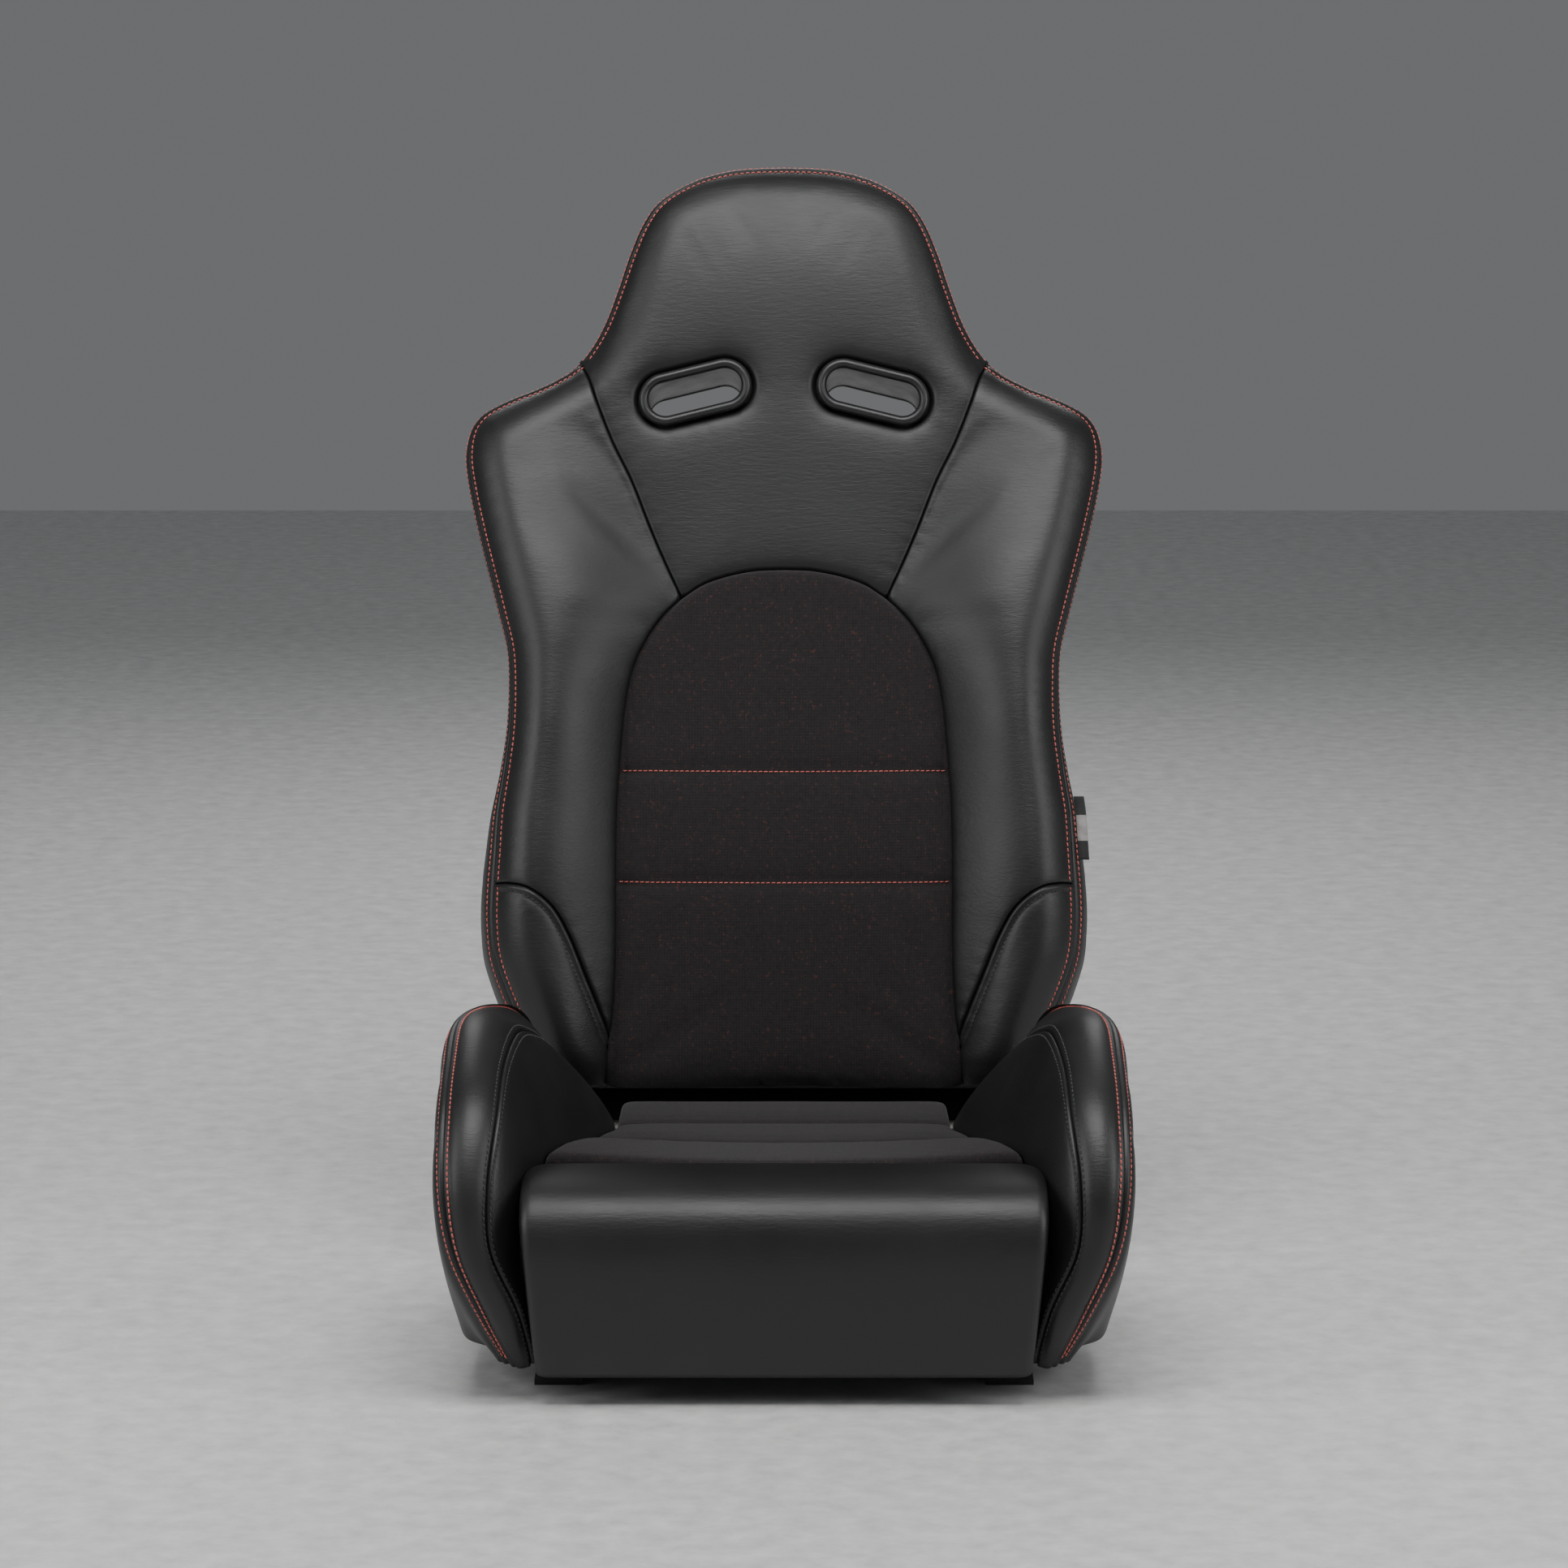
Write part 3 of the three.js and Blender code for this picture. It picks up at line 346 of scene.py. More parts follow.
def puff(verts, faces, held, pressure, cap):
    """Cloth simulation of a cover held along its seams. Returns the moved points."""
    obj = create("puff", verts, faces, None)
    group = obj.vertex_groups.new(name="held")
    group.add([int(i) for i in np.flatnonzero(held)], 1.0, "REPLACE")
    cloth = obj.modifiers.new("Cloth", "CLOTH")
    settings = cloth.settings
    settings.quality = PUFF_QUALITY
    settings.vertex_group_mass = "held"
    settings.use_pressure = True
    settings.uniform_pressure_force = pressure
    settings.tension_stiffness = settings.compression_stiffness = 25
    settings.shear_stiffness = 15
    settings.bending_stiffness = 1.5
    settings.effector_weights.gravity = 0
    cloth.point_cache.frame_start = 1
    cloth.point_cache.frame_end = PUFF_FRAMES
    scene = bpy.context.scene
    for number in range(1, PUFF_FRAMES + 1):
        scene.frame_set(number)
    shown = obj.evaluated_get(bpy.context.evaluated_depsgraph_get()).to_mesh()
    moved = np.empty(len(verts) * 3)
    shown.vertices.foreach_get("co", moved)
    moved = moved.reshape(-1, 3) * 1000 + [0, ORIGIN_Y, 0]
    bpy.data.objects.remove(obj, do_unlink=True)
    scene.frame_set(1)
    step = moved - verts
    size = np.linalg.norm(step, axis=1)[:, None]
    return verts + step * np.minimum(1, cap / np.maximum(size, 1e-9))


# ---- materials
def material(name, build):
    made = bpy.data.materials.new(name)
    made.use_nodes = True
    tree = made.node_tree
    shader = tree.nodes["Principled BSDF"]
    build(tree, shader)
    return made


def node(tree, kind, **values):
    made = tree.nodes.new(kind)
    for key, value in values.items():
        if key in made.inputs:
            made.inputs[key].default_value = value
        else:
            setattr(made, key, value)
    return made


def wire(tree, source, socket, target, name):
    tree.links.new(source.outputs[socket], target.inputs[name])


def texture(tree, at, kind, **values):
    made = node(tree, "ShaderNodeTex" + kind, **values)
    wire(tree, at, "Vector", made, "Vector")
    return made


def relief(tree, shader, source, socket, strength, depth):
    """Bump from a texture, straight into the shader."""
    bump = node(tree, "ShaderNodeBump", Strength=strength, Distance=depth)
    wire(tree, source, socket, bump, "Height")
    wire(tree, bump, "Normal", shader, "Normal")


def set_inputs(shader, values):
    for name, value in values.items():
        shader.inputs[name].default_value = value


def ramp(tree, source, socket, stops):
    made = tree.nodes.new("ShaderNodeValToRGB")
    tree.links.new(source.outputs[socket], made.inputs["Fac"])
    elements = made.color_ramp.elements
    while len(elements) < len(stops):
        elements.new(0.5)
    for element, (at, colour) in zip(elements, stops):
        element.position = at
        element.color = (*colour, 1)
    return made


def shades_of(tree, source, colour, low, high):
    """A colour that drifts between a darker and a lighter shade of itself."""
    return ramp(tree, source, "Fac", [(0.3, tuple(c * low for c in colour)),
                                      (0.7, tuple(c * high for c in colour))])


def spotted(tree, source, start, end, ground, spot):
    """One colour with spots of another where a noise is high."""
    mask = ramp(tree, source, "Fac", [(start, (0, 0, 0)), (end, (1, 1, 1))])
    mix = node(tree, "ShaderNodeMixRGB", blend_type="MIX")
    wire(tree, mask, "Color", mix, "Fac")
    wire(tree, ground, "Color", mix, "Color1")
    mix.inputs["Color2"].default_value = (*spot, 1)
    return mix


def place(tree, scale=(1, 1, 1), rotation=(0, 0, 0)):
    coordinates = tree.nodes.new("ShaderNodeTexCoord")
    mapping = tree.nodes.new("ShaderNodeMapping")
    mapping.inputs["Scale"].default_value = scale
    mapping.inputs["Rotation"].default_value = rotation
    tree.links.new(coordinates.outputs["Object"], mapping.inputs["Vector"])
    return mapping


def leather(tone, rough):
    def build(tree, shader):
        at = place(tree)
        drawn = place(tree, scale=(0.22, 0.7, 1.0))
        pores = texture(tree, at, "Voronoi", feature="DISTANCE_TO_EDGE", Scale=950.0, Randomness=1.0)
        creases = texture(tree, drawn, "Noise", Scale=420.0, Detail=4.0, Roughness=0.6, Distortion=0.6)
        patches = texture(tree, at, "Noise", Scale=14.0, Detail=4.0, Roughness=0.55)
        colour = ramp(tree, patches, "Fac", [(0.3, (tone * 0.86,) * 2 + (tone * 0.92,)),
                                             (0.7, (tone * 1.15,) * 2 + (tone * 1.22,))])
        wire(tree, colour, "Color", shader, "Base Color")
        gloss = ramp(tree, patches, "Fac", [(0.25, (rough - 0.04,) * 3), (0.75, (rough + 0.05,) * 3)])
        wire(tree, gloss, "Color", shader, "Roughness")
        fine = node(tree, "ShaderNodeBump", Strength=0.28, Distance=0.00016)
        wire(tree, pores, "Distance", fine, "Height")
        coarse = node(tree, "ShaderNodeBump", Strength=0.3, Distance=0.0007)
        wire(tree, creases, "Fac", coarse, "Height")
        wire(tree, fine, "Normal", coarse, "Normal")
        wire(tree, coarse, "Normal", shader, "Normal")
        set_inputs(shader, {"Specular IOR Level": 0.5, "Coat Weight": 0.06, "Coat Roughness": 0.35})
    return build


def tweed(tone):
    def build(tree, shader):
        at = place(tree, rotation=(RECLINE, 0, 0))
        warp, weft = (texture(tree, at, "Wave", wave_type="BANDS", bands_direction=axis, Scale=330.0,
                              Distortion=1.6, Detail=2.0) for axis in "XZ")
        fleck = texture(tree, at, "Noise", Scale=330.0, Detail=3.0, Roughness=0.6)
        cloud = texture(tree, at, "Noise", Scale=260.0, Detail=4.0, Roughness=0.7)
        threads = node(tree, "ShaderNodeMath", operation="MULTIPLY")
        height = node(tree, "ShaderNodeMath", operation="ADD")
        for source, socket, target, index in ((warp, "Fac", threads, 0), (weft, "Fac", threads, 1),
                                              (threads, "Value", height, 0), (cloud, "Fac", height, 1)):
            wire(tree, source, socket, target, index)
        dark = ramp(tree, height, "Value", [(0.35, (tone * 0.4,) * 3),
                                            (1.0, (tone * 1.9, tone * 1.5, tone * 1.6))])
        mix = spotted(tree, fleck, 0.6, 0.7, dark, (tone * 4.6, tone * 1.9, tone * 1.7))
        wire(tree, mix, "Color", shader, "Base Color")
        relief(tree, shader, height, "Value", 0.6, 0.0005)
        set_inputs(shader, {"Roughness": 0.95, "Specular IOR Level": 0.15, "Sheen Weight": 0.12,
                            "Sheen Roughness": 0.6})
    return build


def thread(colour, rough=0.55):
    def build(tree, shader):
        at = place(tree)
        twist = texture(tree, at, "Wave", wave_type="BANDS", bands_direction="DIAGONAL", Scale=900.0)
        tint = texture(tree, at, "Noise", Scale=130.0, Detail=2.0)
        wire(tree, shades_of(tree, tint, colour, 0.75, 1.2), "Color", shader, "Base Color")
        relief(tree, shader, twist, "Fac", 0.5, 0.0002)
        set_inputs(shader, {"Roughness": rough, "Sheen Weight": 0.2})
    return build


def moulded(tone, rough, metal=0.0, grain=1400.0, depth=0.00008, wear=None):
    """Moulded plastic, painted or plated metal: fine grain, uneven gloss and, if asked, worn spots."""
    def build(tree, shader):
        at = place(tree)
        skin = texture(tree, at, "Noise", Scale=grain, Detail=3.0, Roughness=0.6)
        smear = texture(tree, at, "Noise", Scale=38.0, Detail=5.0, Roughness=0.65)
        colour = shades_of(tree, smear, tone, 0.85, 1.15)
        if wear:
            colour = spotted(tree, smear, 0.66, 0.74, colour, wear)
        wire(tree, colour, "Color", shader, "Base Color")
        gloss = ramp(tree, smear, "Fac", [(0.25, (rough - 0.07,) * 3), (0.75, (rough + 0.09,) * 3)])
        wire(tree, gloss, "Color", shader, "Roughness")
        relief(tree, shader, skin, "Fac", 0.35, depth)
        set_inputs(shader, {"Metallic": metal})
    return build


def foam_look(tree, shader):
    at = place(tree)
    cells = texture(tree, at, "Voronoi", Scale=600.0)
    tint = texture(tree, at, "Noise", Scale=20.0, Detail=4.0)
    shades = ramp(tree, tint, "Fac", [(0.3, (0.035, 0.035, 0.038)), (0.7, (0.06, 0.06, 0.064))])
    wire(tree, shades, "Color", shader, "Base Color")
    relief(tree, shader, cells, "Distance", 0.7, 0.0009)
    set_inputs(shader, {"Roughness": 0.95})


LEATHER = material("leatherette_black", leather(0.0078, 0.45))
TWEED = material("tweed_black", tweed(0.013))
RED_THREAD = material("thread_red", thread((0.58, 0.12, 0.095)))
BLACK_THREAD = material("thread_black", thread((0.012, 0.012, 0.013), 0.4))
PLASTIC = material("plastic_black", moulded((0.014, 0.014, 0.015), 0.36))
STEEL = material("steel_painted", moulded((0.02, 0.021, 0.023), 0.42, 0.2, 500.0, 0.0002,
                                          (0.045, 0.044, 0.043)))
ZINC = material("steel_plated", moulded((0.5, 0.49, 0.45), 0.36, 0.92, 900.0, 0.00006, (0.32, 0.3, 0.26)))
FOAM = material("foam_open_cell", foam_look)
TAB = material("tab_woven", thread((0.02, 0.02, 0.022), 0.8))
TAB_BAND = material("tab_woven_band", thread((0.32, 0.31, 0.3), 0.8))
FLOOR = material("floor_pale", moulded((0.62, 0.62, 0.61), 0.6, 0.0, 60.0, 0.0002))


# ---- sewn panels
def panel_grid(outline, holes=(), spacing=6.5):
    """Triangles over a closed outline, fine along its seams. Returns points, faces and border loops."""
    loops = [outline] + [np.asarray(h) for h in holes]
    points, edges, start = [], [], 0
    for loop in loops:
        count = len(loop)
        points.append(loop)
        edges += [(start + i, start + (i + 1) % count) for i in range(count)]
        start += count
    border = [np.vstack([loop, loop[:1]]) for loop in loops]

    def covered(places):
        keep = inside(places, outline)
        for hole in loops[1:]:
            keep &= ~inside(places, hole)
        return keep

    def clear(candidates, gap):
        candidates = candidates[covered(candidates)]
        for line in border:
            candidates = candidates[distance(candidates, line)[0] >= gap]
        return candidates

    for gap in RINGS:
        for line in border:
            for sign in (1, -1):
                ring = offset(line, sign * gap)[:-1]
                points.append(clear(ring, gap * 0.93))
    low, high = outline.min(axis=0), outline.max(axis=0)
    rows = np.arange(low[1], high[1], spacing * 0.87)
    grid = [[x + (spacing / 2 if i % 2 else 0), s] for i, s in enumerate(rows)
            for x in np.arange(low[0], high[0], spacing)]
    points.append(clear(np.array(grid), RINGS[-1] + spacing * 0.6))
    flat = np.vstack(points)
    result = delaunay_2d_cdt([Vector(p) for p in flat], edges, [], 1, 1e-4)
    verts = np.array([tuple(v) for v in result[0]])
    faces = np.array([f for f in result[2] if len(f) == 3])
    faces = faces[covered(verts[faces].mean(axis=1))]
    place_of = {}
    for index, origins in enumerate(result[3]):
        for origin in origins:
            place_of[origin] = index
    rings, start = [], 0
    for loop in loops:
        rings.append(np.array([place_of[start + i] for i in range(len(loop))]))
        start += len(loop)
    a = verts[faces[:, 0]]
    b, c = verts[faces[:, 1]] - a, verts[faces[:, 2]] - a
    turn = b[:, 0] * c[:, 1] - b[:, 1] * c[:, 0]
    faces[turn < 0] = faces[turn < 0][:, ::-1]
    return verts, faces, rings


PUCKER_WAVES = np.random.default_rng(SEED).uniform([0.25, 0, 0.4], [0.62, 6.28, 1.0], (9, 3))


def puckers(gap, along):
    """Slight gathering of a cover beside a seam, fading away from it."""
    total = sum(size * np.sin(rate * along + phase) for rate, phase, size in PUCKER_WAVES)
    return PUCKER_DEPTH * total * np.exp(-gap / PUCKER_REACH) * smooth(gap / 3)


def sewn_panel(name, outline, seams, stands_for, look=LEATHER, slot="leatherette", depth=front_depth,
               holes=(), side=1, quilt=(), pressure=1.2):
    """Padded cover over a closed outline on the backrest. seams pairs each seam line with its profile."""
    flat, faces, rings = panel_grid(outline, holes)
    ordered = faces if side > 0 else faces[:, ::-1]
    verts = on_back(flat, depth(flat))
    gaps = [distance(flat, line)[0] for line, _ in seams]
    near = np.min(gaps, axis=0)
    verts = puff(verts, ordered, near < HELD_GAP, pressure, PANEL_CAP)
    lift = np.full(len(flat), FULL)
    for gap, (line, profile) in zip(gaps, seams):
        lift += read(profile, gap) - FULL + puckers(gap, distance(flat, line)[1])
    for s in quilt:
        across = np.abs(flat[:, 1] - s)
        lift -= sum(dip * np.exp(-(across / reach) ** 2) for dip, reach in QUILT_DIPS)
    moved = verts + lift[:, None] * normals(verts, ordered)
    lower = verts - side * COVER * OUT_OF_BACK
    shell, all_faces = closed(moved, ordered, [orient(ring, ordered) for ring in rings], lower)
    obj = create(name, shell, all_faces, look)
    tree = BVHTree.FromPolygons(moved.tolist(), ordered.tolist())
    finish_piece(obj, "backrest", slot, stands_for, fill=0.75)
    return tree


def orient(ring, faces):
    """A border loop turned to run the way the faces do."""
    corners = faces.shape[1]
    pairs = {(int(f[i]), int(f[(i + 1) % corners])) for f in faces for i in range(corners)}
    return ring if (int(ring[0]), int(ring[1])) in pairs else ring[::-1]


def on_panel(tree, points, side=1):
    """Points of the backrest's plane dropped onto a panel: positions and normals."""
    origins = on_back(points, np.full(len(points), 200.0 * side))
    place_at, facing = [], []
    for origin in origins:
        hit = tree.ray_cast(Vector(origin), Vector(-OUT_OF_BACK * side))
        if hit[0] is not None:
            place_at.append(tuple(hit[0]))
            facing.append(tuple(hit[1] if hit[1].dot(Vector(OUT_OF_BACK * side)) > 0 else -hit[1]))
    return np.array(place_at), np.array(facing)


def stitch_template(length, radius):
    """One stitch: a fat dash whose ends dip into the cover."""
    rings = [(-0.5, 0.25, -0.9), (-0.4, 0.8, -0.25), (-0.15, 1.0, 0.12), (0.15, 1.0, 0.12), (0.4, 0.8, -0.25),
             (0.5, 0.25, -0.9)]
    verts = []
    for at, size, height in rings:
        for i in range(7):
            angle = 2 * math.pi * i / 7
            verts.append([at * length, radius * size * math.cos(angle),
                          radius * (0.8 * size * math.sin(angle) + height)])
    faces = grid_faces(len(rings), 7, ring_columns=True).tolist()
    faces.append(list(range(7))[::-1])
    faces.append([(len(rings) - 1) * 7 + i for i in range(7)])
    return np.array(verts), faces


def stitch_row(line, facing, pitch=STITCH_PITCH, radius=0.74):
    """Verts and faces of a row of stitches along a line of points with normals."""
    length = lengths(line)
    count = int(length[-1] / pitch)
    if count < 1:
        return np.zeros((0, 3)), []
    at = (np.arange(count) + 0.5) * length[-1] / count

    def sample(data, where):
        return np.stack([np.interp(where, length, data[:, c]) for c in range(3)], axis=1)

    centre = sample(line, at)
    along = sample(line, at + pitch * 0.4) - sample(line, at - pitch * 0.4)
    along /= np.maximum(np.linalg.norm(along, axis=1), 1e-9)[:, None]
    up = sample(facing, at)
    up -= (up * along).sum(axis=1)[:, None] * along
    up /= np.maximum(np.linalg.norm(up, axis=1), 1e-9)[:, None]
    across = np.cross(up, along)
    along = along + STITCH_SLANT * across
    shape, shape_faces = stitch_template(pitch * STITCH_FILL, radius)
    verts = (centre[:, None] + shape[None, :, :1] * along[:, None] + shape[None, :, 1:2] * across[:, None]
             + (shape[None, :, 2:] + 0.25) * up[:, None]).reshape(-1, 3)
    faces = [[i + k * len(shape) for i in f] for k in range(count) for f in shape_faces]
    return verts, faces


def stitches(name, rows, look, slot, body):
    verts, faces, start = [], [], 0
    for row_verts, row_faces in rows:
        verts.append(row_verts)
        faces += [[i + start for i in f] for f in row_faces]
        start += len(row_verts)
    finish_piece(create(name, np.vstack(verts), faces, look), body, slot)


def stadium(length, radius):
    """Outline of a harness slot on the right, tilted."""
    half = np.linspace(-math.pi / 2, math.pi / 2, 14)
    right = np.stack([length / 2 + radius * np.cos(half), radius * np.sin(half)], axis=1)
    flat = np.vstack([right, -right])
    flat = resample(np.vstack([flat, flat[:1]]), 3.4)[:-1]
    c, s = math.cos(SLOT_TILT), -math.sin(SLOT_TILT)
    return np.stack([SLOT_X + flat[:, 0] * c - flat[:, 1] * s,
                     SLOT_S + flat[:, 0] * s + flat[:, 1] * c], axis=1)


def loop(points):
    return np.vstack([points, points[:1]])


def build_back_front():
    """Head panel, shoulder wings, hip panels and fabric insert."""
    arch = spline(ARCH)
    head_seam = spline(HEAD_SEAM)
    side = spline(INSERT_SIDE)
    foot = spline(INSERT_FOOT)
    hip = spline(HIP_SEAM)
    top = RIGHT_EDGE[RIGHT_EDGE[:, 1] > HEAD_SEAM[-1][1] + 2]
    middle = RIGHT_EDGE[(RIGHT_EDGE[:, 1] > HIP_SEAM[-1][1] + 2) & (RIGHT_EDGE[:, 1] < HEAD_SEAM[-1][1] - 1)]
    low = RIGHT_EDGE[RIGHT_EDGE[:, 1] < HIP_SEAM[-1][1] - 2]
    bottom = resample([[foot[-1][0], BACK_FOOT], [RIGHT_EDGE[0][0], BACK_FOOT]], 3.6)
    slot_hole = stadium(SLOT_STRAIGHT, RING_RADIUS + 5.3)

    head_right = np.vstack([arch, head_seam[1:], top])
    head_loop = np.vstack([head_right, flip(head_right)[1:-1]])
    trees = {}
    trees["head"] = sewn_panel(
        "head_cover", head_loop,
        [(EDGE, FRENCH), (head_seam, PLAIN), (flip(head_seam), PLAIN), (join(flip(arch), arch), SUNK),
         (loop(slot_hole), HOLE), (loop(flip(slot_hole)), HOLE)],
        "head_panel", holes=(slot_hole, flip(slot_hole)))

    insert_right = np.vstack([arch, side[1:], foot[1:]])
    bottom_edge = resample([[foot[-1][0], BACK_FOOT], [-foot[-1][0], BACK_FOOT]], 3.6)[1:-1]
    insert_loop = np.vstack([insert_right, bottom_edge, flip(insert_right)[:-1]])
    border = join(flip(join(arch, side, foot)), join(arch, side, foot))
    trees["insert"] = sewn_panel(
        "back_insert_cloth", insert_loop, [(border, SUNK)], "back_insert", TWEED, "tweed_fabric",
        quilt=QUILT_LINES, pressure=1.6)

    wing = np.vstack([head_seam[::-1], side[1:], hip[1:], middle])
    wing_seams = [(head_seam, PLAIN), (side, SUNK), (hip, PLAIN), (EDGE, FRENCH)]
    hips = np.vstack([hip[::-1], foot[1:], bottom[1:-1], low])
    hip_seams = [(hip, ROLLED), (foot, SUNK), (EDGE, FRENCH)]
    for letter, turn in (("R", lambda p: p), ("L", flip)):
        trees["wing" + letter] = sewn_panel(
            "shoulder_wing_cover_" + letter, turn(wing), [(turn(line), kind) for line, kind in wing_seams],
            "shoulder_wing_" + letter)
        trees["hip" + letter] = sewn_panel(
            "hip_cover_" + letter, turn(hips), [(turn(line), kind) for line, kind in hip_seams],
            "hip_panel_" + letter)
    stitch_back_front(trees, hip)


def stitch_back_front(trees, hip):
    """Red topstitching round the front, black below the hip seams, red quilting lines."""
    red, black = [], []
    rim = offset(RIGHT_EDGE, STITCH_LINE)
    parts = (("head", rim[rim[:, 1] > HEAD_SEAM[-1][1] - 2]),
             ("wing", rim[(rim[:, 1] > HIP_SEAM[-1][1] + 1) & (rim[:, 1] < HEAD_SEAM[-1][1] - 4)]),
             ("hip", rim[(rim[:, 1] < HIP_SEAM[-1][1] - 1) & (rim[:, 1] > 38)]))
    for letter, turn in (("R", lambda p: p), ("L", flip)):
        for key, line in parts:
            tree = trees["head"] if key == "head" else trees[key + letter]
            red.append(stitch_row(*on_panel(tree, turn(line))))
        below = offset(hip, -6.9)[3:-2]
        black.append(stitch_row(*on_panel(trees["hip" + letter], turn(below)), pitch=4.2, radius=0.55))
    for s in QUILT_LINES:
        ends = np.interp(s, [p[1] for p in INSERT_SIDE[::-1]], [p[0] for p in INSERT_SIDE[::-1]]) - 1.5
        line = np.stack([np.linspace(-ends, ends, 60), np.full(60, s)], axis=1)
        line[:, 1] += 1.6 * (line[:, 0] / ends) ** 2
        red.append(stitch_row(*on_panel(trees["insert"], line), pitch=4.4, radius=0.52))
    stitches("back_stitches_red", red, RED_THREAD, "woven_tab", "backrest")
    stitches("back_stitches_black", black, BLACK_THREAD, "leatherette", "backrest")


# ---- grid pieces
def border_of(rows, columns):
    top = list(range(columns))
    right = [i * columns + columns - 1 for i in range(1, rows)]
    bottom = [(rows - 1) * columns + j for j in range(columns - 2, -1, -1)]
    left = [i * columns for i in range(rows - 2, 0, -1)]
    return np.array(top + right + bottom + left)


def fractions(length, spacing=6.0, last=True):
    """Positions across a strip, 0 to 1, fine near an edge that is sewn."""
    start = [0.0] + list(RINGS)
    end = start if last else [0.0, 2.0, 5.0]
    reach = max(length - start[-1] - end[-1], spacing)
    middle = np.linspace(start[-1], start[-1] + reach, max(2, int(reach / spacing)) + 1)[1:-1]
    total = start[-1] + end[-1] + reach
    at = np.concatenate([start, middle, total - np.array(end)[::-1]])
    return at / total


def build_boxing():
    """The side panel round the backrest, from one bottom corner over the head to the other."""
    count = len(EDGE)
    out = unit(-np.gradient(EDGE, axis=0)[:, ::-1] * [-1, 1])
    top = front_depth(EDGE)
    bottom = read(REAR, EDGE[:, 1]) + 1
    cut = fractions(95)
    depth = top - bottom
    height = EDGE[:, 1]
    swell = BOXING_SWELL * smooth((BOXING_SWELL_TOP - height) / BOXING_SWELL_FADE) + 0.5
    held = 1 - BOXING_HOLD * smooth((height - BOXING_HOLD_FOOT) / BOXING_HOLD_FADE)
    slack = 1 - HEAD_HOLD * smooth((height - HEAD_HOLD_FOOT) / HEAD_HOLD_FADE)
    rng = np.random.default_rng(SEED)
    waves = rng.normal(size=(14, 3))
    verts, inner = [], []
    for i in range(count):
        gap_front = cut * depth[i]
        gap_rear = (1 - cut) * depth[i]
        lift = read(FRENCH, gap_front) + read(PLAIN, gap_rear) - FULL
        bulge = swell[i] * np.sin(np.pi * cut) ** 0.7
        ruck = wrinkles(EDGE[i], cut, waves)
        reach = np.minimum(held[i] * lift + bulge + ruck, BOXING_REACH) * slack[i]
        flat = EDGE[i] + out[i] * reach[:, None]
        verts.append(on_back(flat, top[i] - gap_front))
        inner.append(on_back(np.repeat([EDGE[i] - out[i] * COVER], len(cut), axis=0), top[i] - gap_front))
    grid = np.array(verts)
    rows, columns = grid.shape[:2]
    shell, faces = closed(grid.reshape(-1, 3), grid_faces(rows, columns), [border_of(rows, columns)],
                          np.array(inner).reshape(-1, 3))
    obj = create("side_boxing", shell, faces, LEATHER)
    finish_piece(obj, "backrest", "leatherette", "side_panel_L", "side_panel_R", fill=0.75)
    row = int(np.argmin(np.abs(cut * np.median(depth) - STITCH_LINE)))
    facing = unit(np.cross(np.gradient(grid[:, row], axis=0), grid[:, row + 1] - grid[:, row - 1]))
    outward = np.stack([out[:, 0], out[:, 1] * UP_BACK[1], out[:, 1] * UP_BACK[2]], axis=1)
    facing *= np.sign((facing * outward).sum(axis=1))[:, None]
    stitches("boxing_stitches_red", [stitch_row(grid[:, row], facing)], RED_THREAD, "woven_tab", "backrest")


def wrinkles(at, cut, waves):
    """Gathered leather low on the side panel, behind the perimeter seam."""
    x, s = at
    envelope = math.exp(-((s - GATHER_AT) / GATHER_SPAN) ** 2) * (1.0 if x > 0 else 0.55)
    total = np.zeros_like(cut)
    for phase, pitch, lean in waves:
        total += np.sin(s / (5 + 2 * abs(pitch)) + cut * (3 + 4 * lean) + 6 * phase)
    return envelope * total / len(waves) * GATHER_SIZE * np.sin(np.pi * cut)


def build_rear():
    """Upholstered rear panel with the rear ends of the harness slots."""
    hem = resample([EDGE[-1], [-REAR_HEM[0], REAR_HEM[1]], REAR_HEM, EDGE[0]], 3.6)[1:-1]
    outline = np.vstack([EDGE, hem])
    hole = stadium(SLOT_STRAIGHT, RING_RADIUS + 4.2)
    seams = [(loop(outline), PLAIN), (loop(hole), HOLE), (loop(flip(hole)), HOLE)]
    tree = sewn_panel("rear_cover", outline, seams, "rear_panel", depth=rear_depth,
                      holes=(hole, flip(hole)), side=-1)
    rim = offset(EDGE, 6.0)
    rim = rim[rim[:, 1] > 40]
    place_at, facing = on_panel(tree, rim, side=-1)
    row = stitch_row(place_at, facing, radius=0.55)
    stitches("rear_stitches_black", [row], BLACK_THREAD, "leatherette", "backrest")


def hoop(place_name, mirror_x, tube, n, around=72, sides=18):
    """Moulded oval ring of a harness slot."""
    verts = []
    c, s = math.cos(SLOT_TILT), -math.sin(SLOT_TILT)
    for i in range(around):
        angle = 2 * math.pi * (i + 0.5) / around
        for j in range(sides):
            a = 2 * math.pi * j / sides
            r, up = tube * math.cos(a), tube * math.sin(a)
            x = (RING_RADIUS + r) * math.cos(angle) + math.copysign(SLOT_STRAIGHT / 2, math.cos(angle))
            z = (RING_RADIUS + r) * math.sin(angle)
            point = np.array([[(SLOT_X + x * c - z * s) * mirror_x, SLOT_S + x * s + z * c]])
            verts.append(on_back(point, np.array([n + up]))[0])
    faces = grid_faces(around, sides, True, True)
    obj = create("slot_ring_" + place_name, verts, faces if mirror_x > 0 else faces[:, ::-1], PLASTIC)
    finish_piece(obj, "backrest", "black_plastic", "harness_ring_" + place_name)


